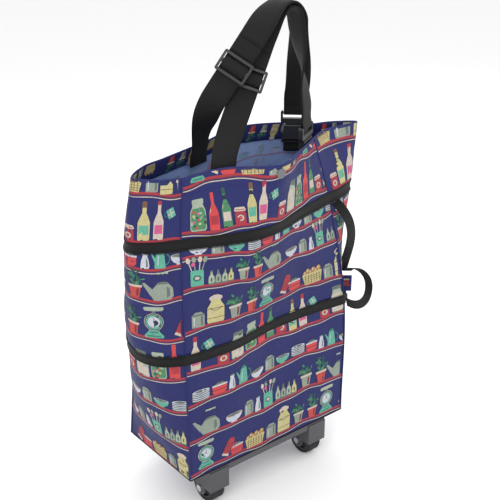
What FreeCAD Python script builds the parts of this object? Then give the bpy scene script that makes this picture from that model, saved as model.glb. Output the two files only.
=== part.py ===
"""Folding shopping bag on two wheels: a cloth tote with a fold-away middle section, two zip halves
that close over it, two adjustable webbing handles and a plastic wheel carrier under its front edge.

Frame: millimetres, +X to the bag's right, +Y from its front panel to its back panel, +Z up.
The origin is on the ground, below the middle of the whole object.
"""
import FreeCAD, Part
import math
import os
from FreeCAD import Placement, Rotation, Vector

doc = FreeCAD.newDocument("ShoppingTrolley")

# ---------------------------------------------------------------- driving dimensions, in mm
DRIVING = {
    "bag_width": 340,        # front panel, seam to seam
    "bag_depth": 180,        # side gusset, seam to seam, at the base
    "bag_height": 533,       # bottom edge to rim
    "floor_gap": 78,         # ground to the bag's bottom edge
    "front_offset": 66,      # origin to the plane of the two front bottom corners
    "cloth": 1.5,            # a doubled cloth panel with its lining
    "zip_low": 232,          # middle of the lower zip half, above the bag's bottom edge
    "zip_high": 430,         # middle of the upper zip half
    "zip_band": 17,          # visible width of each zip half's tape
    "tape": 1.2,             # thickness of the tape
    "teeth_high": 3,         # height of the coil along each tape's free edge
    "teeth_deep": 2.2,
    "hem_depth": 28,         # facing turned to the inside of the rim
    "board": 3,              # stiff board on the bag's bottom
    "wheel_radius": 28,
    "wheel_width": 27,
    "tyre_wall": 5.5,
    "axle_radius": 3,
    "bearing_gap": 0.08,     # radial running clearance of a wheel on its axle
    "axle_spread": 111,      # middle of the bag to the middle of a wheel
    "axle_back": 30,         # axle behind the plane of the front panel
    "axle_drop": 50,         # axle below the bag's bottom edge
    "fork_width": 39,        # outside of a wheel housing
    "fork_wall": 3.5,
    "flange": 4,             # thickness of the carrier's plate
    "lip_drop": 12,          # height of the carrier's front lip
    "screw_radius": 2,
    "webbing": 40,           # width of the handle webbing
    "webbing_thick": 1.3,
    "ply_gap": 0.2,          # between the two plies of a doubled handle
    "buckle_width": 50,
    "buckle_thick": 10,
    "bar_radius": 2.2,       # the buckle's bar, which the webbing turns round
    "cap_radius": 8,         # press stud cap
}
sheet = doc.addObject("Spreadsheet::Sheet", "Dims")
for row, (alias, value) in enumerate(DRIVING.items(), start=1):
    sheet.set(f"A{row}", alias)
    sheet.set(f"B{row}", str(value))
    sheet.setAlias(f"B{row}", alias)
doc.recompute()


def dim(alias):
    """A driving dimension as the sheet holds it."""
    return float(sheet.get(alias))


ZERO_X = -dim("bag_width") / 2
ZERO_Y = -dim("front_offset")
ZERO_Z = dim("floor_gap")
BOTTOM_LEFT = Vector(ZERO_X, ZERO_Y, ZERO_Z)     # front left corner of the bag's bottom
EDGE = dim("zip_band") / 2
nodes = {}


def keep(name, feature):
    """Names a finished sub-part, which becomes one file."""
    feature.Label = name
    nodes[name] = feature
    return feature


# ---------------------------------------------------------------- plain features bound to the sheet
def bind(feature, **expressions):
    for prop, expression in expressions.items():
        feature.setExpression(prop.replace("_", "."), expression)
    return feature


def place(feature, x="0", y="0", z="0", turn=None):
    if turn:
        feature.Placement = Placement(Vector(), turn)
    bind(feature, Placement_Base_x=str(x), Placement_Base_y=str(y), Placement_Base_z=str(z))
    return feature


def box(x, y, z, length, width, height):
    """A box with its lowest corner at x, y, z; every argument is an expression."""
    feature = doc.addObject("Part::Box", "Block")
    bind(feature, Length=str(length), Width=str(width), Height=str(height))
    return place(feature, x, y, z)


def cylinder(x, y, z, radius, height, turn=None):
    feature = doc.addObject("Part::Cylinder", "Round")
    bind(feature, Radius=str(radius), Height=str(height))
    return place(feature, x, y, z, turn)


def fuse(*shapes):
    feature = doc.addObject("Part::MultiFuse", "Fuse")
    feature.Shapes = list(shapes)
    feature.Refine = True
    return feature


def group(*shapes):
    """Separate equal pieces that share one node."""
    feature = doc.addObject("Part::Compound", "Group")
    feature.Links = list(shapes)
    return feature


def cut(base, *tools):
    feature = doc.addObject("Part::Cut", "Cut")
    feature.Base = base
    feature.Tool = tools[0] if len(tools) == 1 else group(*tools)
    return feature


def fillet(base, radius, wanted):
    """Rounds the edges of base that the wanted test picks."""
    doc.recompute()
    feature = doc.addObject("Part::Fillet", "Round")
    feature.Base = base
    picked = [n for n, edge in enumerate(base.Shape.Edges, start=1) if wanted(edge)]
    feature.Edges = [(n, radius, radius) for n in picked]
    return feature


def along(axis):
    """Test for straight edges that run along one axis."""
    def test(edge):
        if len(edge.Vertexes) != 2 or edge.Curve.TypeId != "Part::GeomLine":
            return False
        run = edge.Vertexes[1].Point - edge.Vertexes[0].Point
        return abs(abs(run.normalize().dot(axis)) - 1) < 1e-6
    return test


def solid_feature(name, shape, placement=None):
    """A sub-part whose shape no primitive or sketch feature gives: cloth and webbing."""
    feature = doc.addObject("Part::Feature", "Shape")
    feature.Shape = shape
    if placement:
        feature.Placement = placement
    return keep(name, feature)


X_AXIS, Y_AXIS, Z_AXIS = Vector(1, 0, 0), Vector(0, 1, 0), Vector(0, 0, 1)
TO_X = Rotation(Y_AXIS, 90)     # turns a cylinder to point along +X
TO_Y = Rotation(X_AXIS, -90)    # turns a cylinder to point along +Y
FRONT = "(0 - Dims.front_offset)"
BASE = "Dims.floor_gap"

# ---------------------------------------------------------------- the bag's outline
# Plan outline at four heights, in mm from the front left bottom corner. Each side runs from one seam to
# the next by way of three points; the filled lower part is a box, and the mouth is drawn in to a lens
# with its two gussets creased outwards.
SIDES = ("front", "right", "back", "left")
OUTLINE = {
    0: {"front": [(0, 0), (85, 0), (170, 0), (255, 0)], "right": [(340, 0), (340, 45), (340, 90), (340, 135)],
        "back": [(340, 180), (255, 180), (170, 180), (85, 180)],
        "left": [(0, 180), (0, 135), (0, 90), (0, 45)]},
    232: {"front": [(-3, 0), (85, -8), (170, 4), (255, 6)],
          "right": [(334, -3), (350, 30), (358, 75), (350, 120)],
          "back": [(334, 155), (255, 168), (170, 172), (85, 168)],
          "left": [(4, 152), (-35, 115), (-52, 66), (-38, 25)]},
    430: {"front": [(-3, 2), (75, -27), (140, -38), (215, -16)],
          "right": [(297, 5), (332, 14), (372, 36), (368, 76)],
          "back": [(345, 105), (260, 135), (170, 140), (85, 128)],
          "left": [(12, 115), (-35, 92), (-66, 48), (-38, 18)]},
    533: {"front": [(2, 1), (76, -2), (150, -44), (215, -14)],
          "right": [(272, 18), (318, 40), (390, 40), (362, 66)],
          "back": [(328, 78), (285, 118), (215, 143), (125, 116)],
          "left": [(28, 91), (-15, 80), (-54, 48), (-28, 16)]},
}
HEIGHTS = sorted(OUTLINE)
STEPS = 8       # stretches that each side is sampled in


def blend(p0, p1, p2, p3, u, gaps=(1, 1, 1)):
    """A point on the smooth curve through p1 (u = 0) and p2 (u = 1); gaps are the spacings p0 to p3."""
    slope1 = (p2 - p0) * (gaps[1] / (gaps[0] + gaps[1]))
    slope2 = (p3 - p1) * (gaps[1] / (gaps[1] + gaps[2]))
    return (p1 * (2 * u ** 3 - 3 * u ** 2 + 1) + slope1 * (u ** 3 - 2 * u ** 2 + u)
            + p2 * (3 * u ** 2 - 2 * u ** 3) + slope2 * (u ** 3 - u ** 2))


def corner_points(side, level):
    """The side's five points at one of the four heights, the next side's first seam included."""
    following = SIDES[(SIDES.index(side) + 1) % 4]
    return [Vector(x, y, 0) for x, y in OUTLINE[level][side] + OUTLINE[level][following][:1]]


def side_points(side, height):
    """The side's plan points at any height, by a smooth curve through the four known heights."""
    upper = min(n for n in range(1, 4) if height <= HEIGHTS[n] or n == 3)
    u = (height - HEIGHTS[upper - 1]) / (HEIGHTS[upper] - HEIGHTS[upper - 1])
    picks = [HEIGHTS[max(0, min(3, n))] for n in (upper - 2, upper - 1, upper, upper + 1)]
    around = zip(*(corner_points(side, level) for level in picks))
    gaps = [b - a for a, b in zip(picks, picks[1:])]
    known = [blend(*four, u, gaps) for four in around]
    ends = [known[0] * 2 - known[1]] + known + [known[-1] * 2 - known[-2]]
    samples = []
    for n in range(4):
        samples += [blend(*ends[n:n + 4], k / (STEPS / 4)) for k in range(STEPS // 4)]
    return samples + [known[-1]]


def normal(run):
    """Outward normal of a stretch of outline that runs anticlockwise seen from above."""
    return Vector(run.y, -run.x, 0).normalize()


def offset_points(side, height, out):
    """The side's points at this height, moved outwards by out and mitred with its neighbours."""
    points = side_points(side, height)
    before = side_points(SIDES[SIDES.index(side) - 1], height)
    after = side_points(SIDES[(SIDES.index(side) + 1) % 4], height)
    chain = [before[-2]] + points + [after[1]]
    moved = []
    for n, point in enumerate(points, start=1):
        n1, n2 = normal(point - chain[n - 1]), normal(chain[n + 1] - point)
        mitre = (n1 + n2) * (1 / (1 + n1.dot(n2)))
        moved.append(point + mitre * out + Vector(0, 0, height) + BOTTOM_LEFT)
    return moved


def curve(points):
    """A smooth edge through the points."""
    spline = Part.BSplineCurve()
    spline.interpolate(points)
    return spline.toShape()


def panel(side, low, high, inner, outer, rows, straight=False):
    """A curved strip of one side, from one offset of the outline to another."""
    wires = []
    for row in range(rows):
        height = low + (high - low) * row / (rows - 1)
        outside, inside = offset_points(side, height, outer), offset_points(side, height, inner)
        wires.append(Part.Wire([curve(outside), Part.makeLine(outside[-1], inside[-1]),
                                curve(inside[::-1]), Part.makeLine(inside[0], outside[0])]))
    return Part.makeLoft(wires, True, straight)


def ring(low, high, inner, outer):
    """A band right round the bag: its four sides joined end to end."""
    strips = [panel(side, low, high, inner, outer, 3, straight=True) for side in SIDES]
    return strips[0].multiFuse(strips[1:]).removeSplitter()


# ---------------------------------------------------------------- cloth panels
FOLD_LOW = dim("zip_low") + EDGE       # the middle section folds between these two heights
FOLD_HIGH = dim("zip_high") - EDGE
SECTIONS = {"lower": (0, FOLD_LOW, 9), "middle": (FOLD_LOW, FOLD_HIGH, 8),
            "upper": (FOLD_HIGH, dim("bag_height"), 8)}
SEWN = 0.25     # space between layers that are sewn together
for section, (low, high, rows) in SECTIONS.items():
    for side in SIDES:
        solid_feature(f"{section}_{side}_panel", panel(side, low, high, -dim("cloth"), 0, rows))
FACING_IN = dim("cloth") + SEWN + 1
solid_feature("hem_facing", ring(dim("bag_height") - dim("hem_depth"), dim("bag_height"),
                                 -FACING_IN, -dim("cloth") - SEWN))

# ---------------------------------------------------------------- zip halves right round the bag
TEETH_IN = 2 * SEWN
TEETH_OUT = TEETH_IN + dim("teeth_deep")
for name, middle, teeth_low in (
        ("lower", dim("zip_low"), FOLD_LOW),
        ("upper", dim("zip_high"), FOLD_HIGH - dim("teeth_high"))):
    solid_feature(f"zip_tape_{name}", ring(middle - EDGE, middle + EDGE, SEWN, SEWN + dim("tape")))
    solid_feature(f"zip_coil_{name}",
                  ring(teeth_low, teeth_low + dim("teeth_high"), TEETH_IN, TEETH_OUT))

# ---------------------------------------------------------------- bottom, board and screws
SCREW_X = ("0 - Dims.axle_spread", "0", "Dims.axle_spread")
SCREW_Y = (f"{FRONT} + 14", f"{FRONT} + 50")
SPOTS = [(x, y) for x in SCREW_X for y in SCREW_Y]
GUARD = f"{BASE} - 2 * Dims.flange"      # underside of a housing's roof


def screw_holes():
    return [cylinder(x, y, f"{GUARD} - 4", "Dims.screw_radius + 0.1",
                     "2 * Dims.flange + Dims.board + 10") for x, y in SPOTS]


def plate(inset, low, thick):
    """A rectangle inside the bag's bottom edge, with the carrier's screw holes."""
    return cut(box(f"0 - Dims.bag_width / 2 + {inset}", f"{FRONT} + {inset}", low,
                   f"Dims.bag_width - 2 * ({inset})", f"Dims.bag_depth - 2 * ({inset})", thick),
               *screw_holes())


keep("bottom_panel", plate("Dims.cloth + 0.1", BASE, "Dims.cloth"))
BOARD_TOP = f"{BASE} + Dims.cloth + Dims.board"
keep("base_board", cut(plate("5", f"{BASE} + Dims.cloth", "Dims.board"),
                       *[cylinder(x, y, f"{BOARD_TOP} - 2", "Dims.screw_radius * 2.2 + 0.15", "3") for x, y in SPOTS]))
screws = []
for x, y in SPOTS:
    shank = cylinder(x, y, GUARD, "Dims.screw_radius", "2 * Dims.flange + Dims.cloth + Dims.board - 1")
    head = cylinder(x, y, f"{BOARD_TOP} - 2", "Dims.screw_radius * 2.2", "1.8")
    screws.append(fuse(shank, head))
keep("carrier_screws", group(*screws))

# ---------------------------------------------------------------- wheel carrier
SPAN = "(Dims.axle_spread + Dims.fork_width / 2)"
GAP_SPAN = "(Dims.axle_spread - Dims.fork_width / 2)"
flange_plate = box(f"0 - {SPAN}", FRONT, f"{BASE} - Dims.flange",
                   f"2 * {SPAN}", "62", "Dims.flange")
lip = box(f"0 - {GAP_SPAN} + 0.2", FRONT, f"{BASE} - Dims.lip_drop",
          f"2 * {GAP_SPAN} - 0.4", "4", "Dims.lip_drop")
rib = box(f"0 - {GAP_SPAN} + 0.2", f"{FRONT} + 34", f"{BASE} - Dims.lip_drop + 2",
          f"2 * {GAP_SPAN} - 0.4", "3", "Dims.lip_drop - 2")
keep("wheel_carrier", cut(fuse(flange_plate, lip, rib), *screw_holes()))

AXLE_Y = f"{FRONT} + Dims.axle_back"
AXLE_Z = f"{BASE} - Dims.axle_drop"


def housing(middle):
    """A wheel housing open below and behind: a roof, a front plate and two cheeks round the axle."""
    outer_x = f"{middle} - Dims.fork_width / 2"
    roof = box(outer_x, FRONT, f"{BASE} - 2 * Dims.flange", "Dims.fork_width", "60", "Dims.flange")
    front = box(outer_x, f"{FRONT} - 2", f"{BASE} - 44", "Dims.fork_width", "3", "40")
    cheeks = []
    for edge in (outer_x, f"{middle} + Dims.fork_width / 2 - Dims.fork_wall"):
        slab = box(edge, f"{FRONT} - 2", f"{BASE} - 44", "Dims.fork_wall", "62", "40")
        boss = cylinder(edge, AXLE_Y, AXLE_Z, "13", "Dims.fork_wall", TO_X)
        cheeks += [slab, boss]
    bore = cylinder(f"{outer_x} - 1", AXLE_Y, AXLE_Z, "Dims.axle_radius + 0.05",
                    "Dims.fork_width + 2", TO_X)
    return cut(fuse(roof, front, *cheeks), bore, *screw_holes())


def wheel(side, middle):
    """Hub with a recess in each face and a long bore, and the tyre round it."""
    def disc(radius, width):
        return cylinder(f"{middle} - ({width}) / 2", AXLE_Y, AXLE_Z, radius, width, TO_X)
    rim = "Dims.wheel_radius - Dims.tyre_wall"
    drum = disc(rim, "Dims.wheel_width - 2")
    grooves = []
    for face in (f"{middle} - Dims.wheel_width / 2", f"{middle} + Dims.wheel_width / 2 - 6"):
        wide = cylinder(face, AXLE_Y, AXLE_Z, f"{rim} - 4", "6", TO_X)
        core = cylinder(face, AXLE_Y, AXLE_Z, "9", "6", TO_X)
        grooves.append(cut(wide, core))
    sleeve = disc("6.5", "Dims.fork_width - 2 * Dims.fork_wall - 1")
    bore = disc("Dims.axle_radius + Dims.bearing_gap", "Dims.fork_width")
    keep(f"wheel_hub_{side}", cut(fuse(cut(drum, *grooves), sleeve), bore))
    band = cut(disc("Dims.wheel_radius", "Dims.wheel_width"), disc(rim, "Dims.wheel_width + 2"))
    outer_edges = fillet(band, 3, lambda edge: edge.Length > 6.2 * dim("wheel_radius"))
    keep(f"tyre_{side}", outer_edges)


for side, middle in (("left", "(0 - Dims.axle_spread)"), ("right", "(Dims.axle_spread)")):
    keep(f"wheel_housing_{side}", housing(middle))
    wheel(side, middle)
    keep(f"axle_{side}", cylinder(f"{middle} - Dims.fork_width / 2 - 2", AXLE_Y, AXLE_Z,
                                  "Dims.axle_radius", "Dims.fork_width + 4", TO_X))
caps = []
for sign in (-1, 1):
    for end in (-1, 1):
        start = 0.1 if end > 0 else -2.6
        ring_x = f"{sign} * Dims.axle_spread + {end} * Dims.fork_width / 2 + {start}"
        washer = cylinder(ring_x, AXLE_Y, AXLE_Z, "6", "2.5", TO_X)
        hole = cylinder(ring_x, AXLE_Y, AXLE_Z, "Dims.axle_radius", "2.5", TO_X)
        caps.append(cut(washer, hole))
keep("axle_caps", group(*caps))

# ---------------------------------------------------------------- press studs at the rim
STUD_Z = f"{BASE} + Dims.bag_height - 13"
STUDS = {"front": ("0 - Dims.bag_width / 2 + 150", -1), "back": ("215 - Dims.bag_width / 2", 1)}
for side, (stud_x, sign) in STUDS.items():
    surface = min if side == "front" else max
    reach = surface(p.y for p in offset_points(side, dim("bag_height") - 13, 0))
    cap_y = reach + sign * 0.6 - (2.5 if sign < 0 else 0)
    inner_y = reach - sign * (FACING_IN + 1.4) - (2 if sign > 0 else 0)
    knob_y = reach - sign * (FACING_IN + 3.4) - (1.5 if sign > 0 else 0)
    cap = cylinder(stud_x, f"{cap_y}", STUD_Z, "Dims.cap_radius", "2.5", TO_Y)
    keep(f"stud_cap_{side}", fillet(cap, 1, lambda edge: abs(
        edge.CenterOfMass.y - (cap_y if sign < 0 else cap_y + 2.5)) < 0.1))
    ring_part = cylinder(stud_x, f"{inner_y}", STUD_Z, "Dims.cap_radius - 1.5", "2", TO_Y)
    knob = cylinder(stud_x, f"{knob_y}", STUD_Z, "3", "1.5", TO_Y)
    inner = fuse(ring_part, knob) if side == "front" else cut(
        ring_part, cylinder(stud_x, f"{inner_y - 1}", STUD_Z, "3.2", "4", TO_Y))
    keep("stud_ball_front" if side == "front" else "stud_socket_back", inner)


# ---------------------------------------------------------------- webbing
def bag_point(x, y, z):
    return Vector(x, y, z) + BOTTOM_LEFT


def bezier(start, start_pull, end, end_pull, u):
    """A point on the cubic from start to end; the pulls are the two ends' direction times reach."""
    p1, p2 = start + start_pull, end - end_pull
    return start * (1 - u) ** 3 + p1 * (3 * u * (1 - u) ** 2) + p2 * (3 * u * u * (1 - u)) + end * u ** 3


def square(direction, other):
    """The direction turned until it is square to the other."""
    unit = Vector(other).normalize()
    return (direction - unit * direction.dot(unit)).normalize()


def strap(stations, low, high, width):
    """Flat webbing lofted through stations of (middle, tangent, width direction): from the offset low
    to the offset high along the outward normal, which is the width direction crossed with the tangent."""
    wires = []
    for point, tangent, across in stations:
        across = Vector(across).normalize()
        out = across.cross(square(tangent, across))
        corners = [point + across * (s * width / 2) + out * o
                   for s, o in ((-1, low), (1, low), (1, high), (-1, high))]
        wires.append(Part.makePolygon(corners + corners[:1]))
    return Part.makeLoft(wires, True, True)


def stations_on(path, turns):
    """Stations along a list of points, with the width direction eased between (share, direction)."""
    lengths = [0.0]
    for a, b in zip(path, path[1:]):
        lengths.append(lengths[-1] + (b - a).Length)
    result = []
    for n, point in enumerate(path):
        tangent = (path[min(n + 1, len(path) - 1)] - path[max(n - 1, 0)]).normalize()
        share = lengths[n] / lengths[-1]
        low = max(k for k in range(len(turns) - 1) if share >= turns[k][0])
        u = (share - turns[low][0]) / (turns[low + 1][0] - turns[low][0])
        ease = u * u * (3 - 2 * u)
        result.append((point, tangent, turns[low][1] * (1 - ease) + turns[low + 1][1] * ease))
    return result


# Each handle hangs on two bends a little above the rim. Above the left bend a straight stretch carries the
# adjuster; then come the arch and the right leg down to the right bend. Below the bends the webbing stays
# with the bag: a root sewn inside the rim, and a loop round the buckle's bar. At a bend the webbing's width
# lies along the line through both bends. Points are in mm from the front left corner.
RIM = dim("bag_height")
BAR_HEIGHT = RIM + 22
HANDLES = {
    "front": {"root_x": 76, "pivot_left": (88, 12, 572), "low": (126, 30, 603), "high": (180, 42, 693),
              "top": (221, 34, 748), "shoulder": (243, 34, 722), "pivot_right": (258, 23, 592),
              "bar": (257, 21.5, BAR_HEIGHT), "lean": (0, 0.30, 0.95), "glide_across": (0.80, -0.60, 0),
              "right_turn": -1, "bar_across": (-0.87, -0.49, 0), "reach": 15},
    "back": {"root_x": 108, "pivot_left": (105, 96, 575), "low": (100.5, 49, 628),
             "high": (155.5, 31, 708), "top": (221, 35, 756), "shoulder": (252, 38, 722),
             "pivot_right": (292, 85, 592), "bar": (296, 90, BAR_HEIGHT), "lean": (0, -0.50, 0.87),
             "glide_across": (0.80, -0.60, 0), "right_turn": 1, "bar_across": (0.73, -0.68, 0), "reach": 20},
}
THICK, PLY = dim("webbing_thick"), dim("webbing_thick") + dim("ply_gap")
LOOP = dim("bar_radius") + 0.4          # inside radius of the webbing's turn round the bar
MEET = 12                               # the two plies come together this far above the bar
BEND_GAP = 0.9                          # the webbing is parted this far each side of a bend
GLIDE_HALF = 17
TONGUE = 26                             # webbing that travels with the adjuster


def bends(data):
    """The line through a handle's two bends, and the webbing's way at the left and the right one."""
    left, right = bag_point(*data["pivot_left"]), bag_point(*data["pivot_right"])
    axis = (right - left).normalize()
    up = square(Vector(*data["lean"]), axis)
    down = square(right - bag_point(*data["shoulder"]), axis)
    return axis, up, down


def right_middle(data):
    """Middle of the inner ply at the right bend, which lies between the two plies."""
    axis, _, down = bends(data)
    out = (axis * data["right_turn"]).cross(down)
    return bag_point(*data["pivot_right"]) - out * (PLY / 2)


def handle_path(data):
    """Middle line of the inner ply, from the left bend to the right one."""
    left, low, high, top, shoulder = (
        bag_point(*data[key]) for key in ("pivot_left", "low", "high", "top", "shoulder"))
    _, up, down = bends(data)
    way = (high - low).normalize()
    start, end = left + up * BEND_GAP, right_middle(data) - down * BEND_GAP
    drop = (end - shoulder).normalize()
    first = [bezier(start, up * 20, low, way * 20, k / 12) for k in range(12)]
    rise = [bezier(high, way * 30, top, X_AXIS * data["reach"], k / 10) for k in range(10)]
    arch = [bezier(top, X_AXIS * 14, shoulder, drop * 16, k / 8) for k in range(8)]
    straight = [low + (high - low) * (k / 3) for k in range(3)]
    leg = [bezier(shoulder, drop * 30, end, down * 30, k / 16) for k in range(17)]
    return first + straight + rise + arch + leg


def inside_rim(side, x, height, depth):
    """A point inside one side's wall at this x and height, and the wall's run there."""
    points = offset_points(side, height, -depth)
    for a, b in zip(points, points[1:]):
        if min(a.x, b.x) <= x + BOTTOM_LEFT.x <= max(a.x, b.x):
            run = (b - a).normalize()
            return a + (b - a) * ((x + BOTTOM_LEFT.x - a.x) / (b.x - a.x)), run * (1 if run.x > 0 else -1)


def share_of(path, point):
    """How far along the path a point on it lies, from 0 to 1."""
    total = sum((b - a).Length for a, b in zip(path, path[1:]))
    walked = 0.0
    for a, b in zip(path, path[1:]):
        if (point - a).Length < 1e-6:
            break
        walked += (b - a).Length
    return walked / total


def frame_at(origin, across, tangent):
    """Placement whose X is the width direction, Z the tangent and -Y the outward normal."""
    across = (across - tangent * across.dot(tangent)).normalize()
    out = across.cross(tangent).normalize()
    turned = Rotation(across, out * -1, tangent, "ZXY")
    return Placement(origin, turned)


def local_box(x, y, z, length, width, height):
    return Part.makeBox(length, width, height, Vector(x, y, z))


def adjuster(side, centre, across, way):
    """Three-bar slide, and the webbing that turns over its middle bar and runs on up the handle."""
    where = frame_at(centre, across, way)
    near = -THICK / 2 - 0.45                 # the frame stands just clear of the inner ply
    frame = local_box(-25, near - 4, -GLIDE_HALF, 50, 4, 2 * GLIDE_HALF)
    frame = frame.makeFillet(3, [e for e in frame.Edges if along(Y_AXIS)(e)])
    frame = frame.makeFillet(1, [e for e in frame.Edges if abs(e.CenterOfMass.y - near + 4) < 0.01])
    for low in (-GLIDE_HALF + 4.5, 3.2):
        frame = frame.cut(local_box(-21, near - 5, low, 42, 6, GLIDE_HALF - 7.7))
    solid_feature(f"adjuster_{side}", frame, where)
    half, top = dim("webbing") / 2, near - 4.3
    arc = [Vector(-half, near - 0.2, -8.6), Vector(-half, near - 3.2, -7.4), Vector(-half, top - 1.0, -3.4),
           Vector(-half, top - 1.3, 0), Vector(-half, top - 1.0, 3.4), Vector(-half, near - 3.2, 7.4),
           Vector(-half, near - 0.2, 8.6)]
    thin = 1.2
    inner = [Vector(p.x, p.y + (thin if abs(p.z) < 5 else 0), p.z - math.copysign(
        thin if abs(p.z) > 5 else 0, p.z)) for p in arc]
    face = Part.Face(Part.Wire([curve(arc), Part.makeLine(arc[-1], inner[-1]), curve(inner[::-1]),
                                Part.makeLine(inner[0], arc[0])]))
    hump = face.extrude(X_AXIS * dim("webbing"))
    tongue = local_box(-half, -PLY - THICK / 2, GLIDE_HALF + 0.5, dim("webbing"), THICK - 0.2, TONGUE)
    solid_feature(f"adjuster_webbing_{side}", Part.makeCompound([hump, tongue]), where)


def buckle(side, bar, across):
    """Side-release buckle standing inside the rim: the fork with its webbing bar, the socket,
    and the two release prongs that show in the socket's windows."""
    where = frame_at(bar, across if across.x > 0 else across * -1, Z_AXIS)
    thick, half = dim("buckle_thick"), dim("buckle_width") / 2
    shoulder_top, socket_top, socket_low = -9, -19, -51
    fork = local_box(-half, -4, shoulder_top - 8, 2 * half, 8, 21)
    fork = fork.makeFillet(3.5, [e for e in fork.Edges if along(Y_AXIS)(e)])
    fork = fork.cut(local_box(-21.2, -5, shoulder_top, 42.4, 10, 20))
    neck = local_box(-17, -4, socket_top - 0.5, 34, 8, 4)
    guide = local_box(-4, -2.2, socket_top - 22, 8, 4.4, 23)
    bar_rod = Part.makeCylinder(dim("bar_radius"), 44, Vector(-22, 0, 0), X_AXIS)
    solid_feature(f"buckle_fork_{side}", fork.multiFuse([neck, guide, bar_rod]).removeSplitter(), where)
    outline = [(-24, socket_low), (24, socket_low), (19.5, socket_top - 9), (19.5, socket_top - 1),
               (-19.5, socket_top - 1), (-19.5, socket_top - 9)]
    corners = [Vector(x, -thick / 2, z) for x, z in outline]
    socket = Part.Face(Part.makePolygon(corners + corners[:1])).extrude(Y_AXIS * thick)
    socket = socket.makeFillet(1.8, [e for e in socket.Edges if abs(abs(e.CenterOfMass.y) - thick / 2) < 0.01])
    socket = socket.cut(local_box(-16.5, -3, socket_top - 24.5, 33, 6, 26))
    socket = socket.cut(local_box(-30, -3, socket_top - 19.4, 60, 6, 10.8))
    socket = socket.cut(local_box(-20.5, -6, socket_low + 3, 41, 12, 3.4))
    solid_feature(f"buckle_socket_{side}", socket, where)
    for hand, sign in (("left", -1), ("right", 1)):
        arm = local_box(min(sign * 9, sign * 12.5), -2.4, socket_top - 18.5, 3.5, 4.8, 16.5)
        pad = local_box(min(sign * 12.4, sign * 18.6), -2.4, socket_top - 17.4, 6.2, 4.8, 7.6)
        prong = arm.fuse(pad).removeSplitter()
        solid_feature(f"buckle_prong_{side}_{hand}", prong, where)


def root(side, data):
    """The webbing's end: sewn flat inside the facing, then up to the left bend."""
    axis, up, _ = bends(data)
    depth = FACING_IN + THICK / 2 + 3.4
    sewn = [inside_rim(side, data["root_x"], RIM - drop, depth) for drop in (30, 22, 14, 6)]
    run = sewn[-1][1]
    last, end = sewn[-1][0], bag_point(*data["pivot_left"]) - up * BEND_GAP
    rise = [bezier(last, Z_AXIS * 14, end, up * 14, k / 8) for k in range(9)]
    path = [point for point, _ in sewn[:-1]] + rise
    stations = stations_on(path, [(0, run), (share_of(path, last), run), (1, axis)])
    stations[0] = (path[0], Z_AXIS, run)
    return strap(stations, -THICK / 2, THICK / 2, dim("webbing"))


def bar_loop(data):
    """The webbing's turn round the buckle's bar and its two plies up to the right bend."""
    axis, _, down = bends(data)
    bar, across = bag_point(*data["bar"]), Vector(*data["bar_across"]).normalize()
    start = right_middle(data) + down * BEND_GAP
    bar_way = square(bar - start, across)
    meet, half = bar - bar_way * MEET, dim("webbing") / 2
    path = [bezier(start, down * 8, meet, bar_way * 8, k / 8) for k in range(9)]
    stations = stations_on(path, [(0, axis * data["right_turn"]), (1, across)])
    stations[0] = (start, down, stations[0][2])
    stations[-1] = (meet, bar_way, across)
    plies = [strap(stations, low, low + THICK, dim("webbing")) for low in (-THICK / 2, PLY - THICK / 2)]
    turn = Part.makeCylinder(LOOP + THICK, 2 * half, Vector(-half, 0, 0), X_AXIS)
    turn = turn.cut(Part.makeCylinder(LOOP, 2 * half + 2, Vector(-half - 1, 0, 0), X_AXIS))
    turn = turn.cut(local_box(-30, -10, -10, 60, 20, 10))
    for sign, ply in ((1, 0), (-1, -PLY)):
        edges = [(ply + sign * THICK / 2, -MEET), (ply - sign * THICK / 2, -MEET),
                 (sign * LOOP, 0), (sign * (LOOP + THICK), 0)]
        flare = [Vector(-half, y, z) for y, z in edges]
        turn = turn.fuse(Part.Face(Part.makePolygon(flare + flare[:1])).extrude(X_AXIS * 2 * half))
    turn.Placement = frame_at(bar, across, bar_way)
    return turn.multiFuse(plies).removeSplitter()


roots, tails = [], []
for side, data in HANDLES.items():
    path = handle_path(data)
    low, high, top, shoulder, bar = (
        bag_point(*data[key]) for key in ("low", "high", "top", "shoulder", "bar"))
    axis, up, down = bends(data)
    way = (high - low).normalize()
    glide = square(Vector(*data["glide_across"]), way)
    turns = [(0, axis), (share_of(path, low), glide), (share_of(path, high), glide),
             (share_of(path, top), Y_AXIS * -1), (share_of(path, shoulder), Y_AXIS * -1),
             (1, axis * data["right_turn"])]
    stations = stations_on(path, turns)
    stations[0] = (path[0], up, axis)
    stations[-1] = (path[-1], down, stations[-1][2])
    solid_feature(f"handle_{side}_inner_ply", strap(stations, -THICK / 2, THICK / 2, dim("webbing")))
    centre = low + way * ((high - low).Length / 2)
    gap_end = centre + way * (GLIDE_HALF + TONGUE + 1)
    doubled = [(gap_end, way, glide)] + [
        s for s in stations if (s[0] - gap_end).dot(way) > 4 or s[0].x > high.x]
    solid_feature(f"handle_{side}_outer_ply", strap(doubled, PLY - THICK / 2, PLY + THICK / 2,
                                                    dim("webbing")))
    solid_feature(f"handle_{side}_loop", bar_loop(data))
    adjuster(side, centre, glide, way)
    buckle(side, bar, Vector(*data["bar_across"]))
    roots.append(root(side, data))
    hang = bar - Z_AXIS * 51.4
    across = Vector(*data["bar_across"])
    tails.append(strap([(hang - Z_AXIS * 15, Z_AXIS, across), (hang, Z_AXIS, across)],
                       -THICK / 2, THICK / 2, dim("webbing")))
solid_feature("handle_roots", Part.makeCompound(roots))
solid_feature("socket_tails", Part.makeCompound(tails))

# ---------------------------------------------------------------- zip ends and their tab
def tape_run(name, points, across_from, across_to):
    stations = stations_on(points, [(0, across_from), (1, across_to)])
    solid_feature(name, strap(stations, -dim("tape") / 2, dim("tape") / 2, 16))


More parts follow.
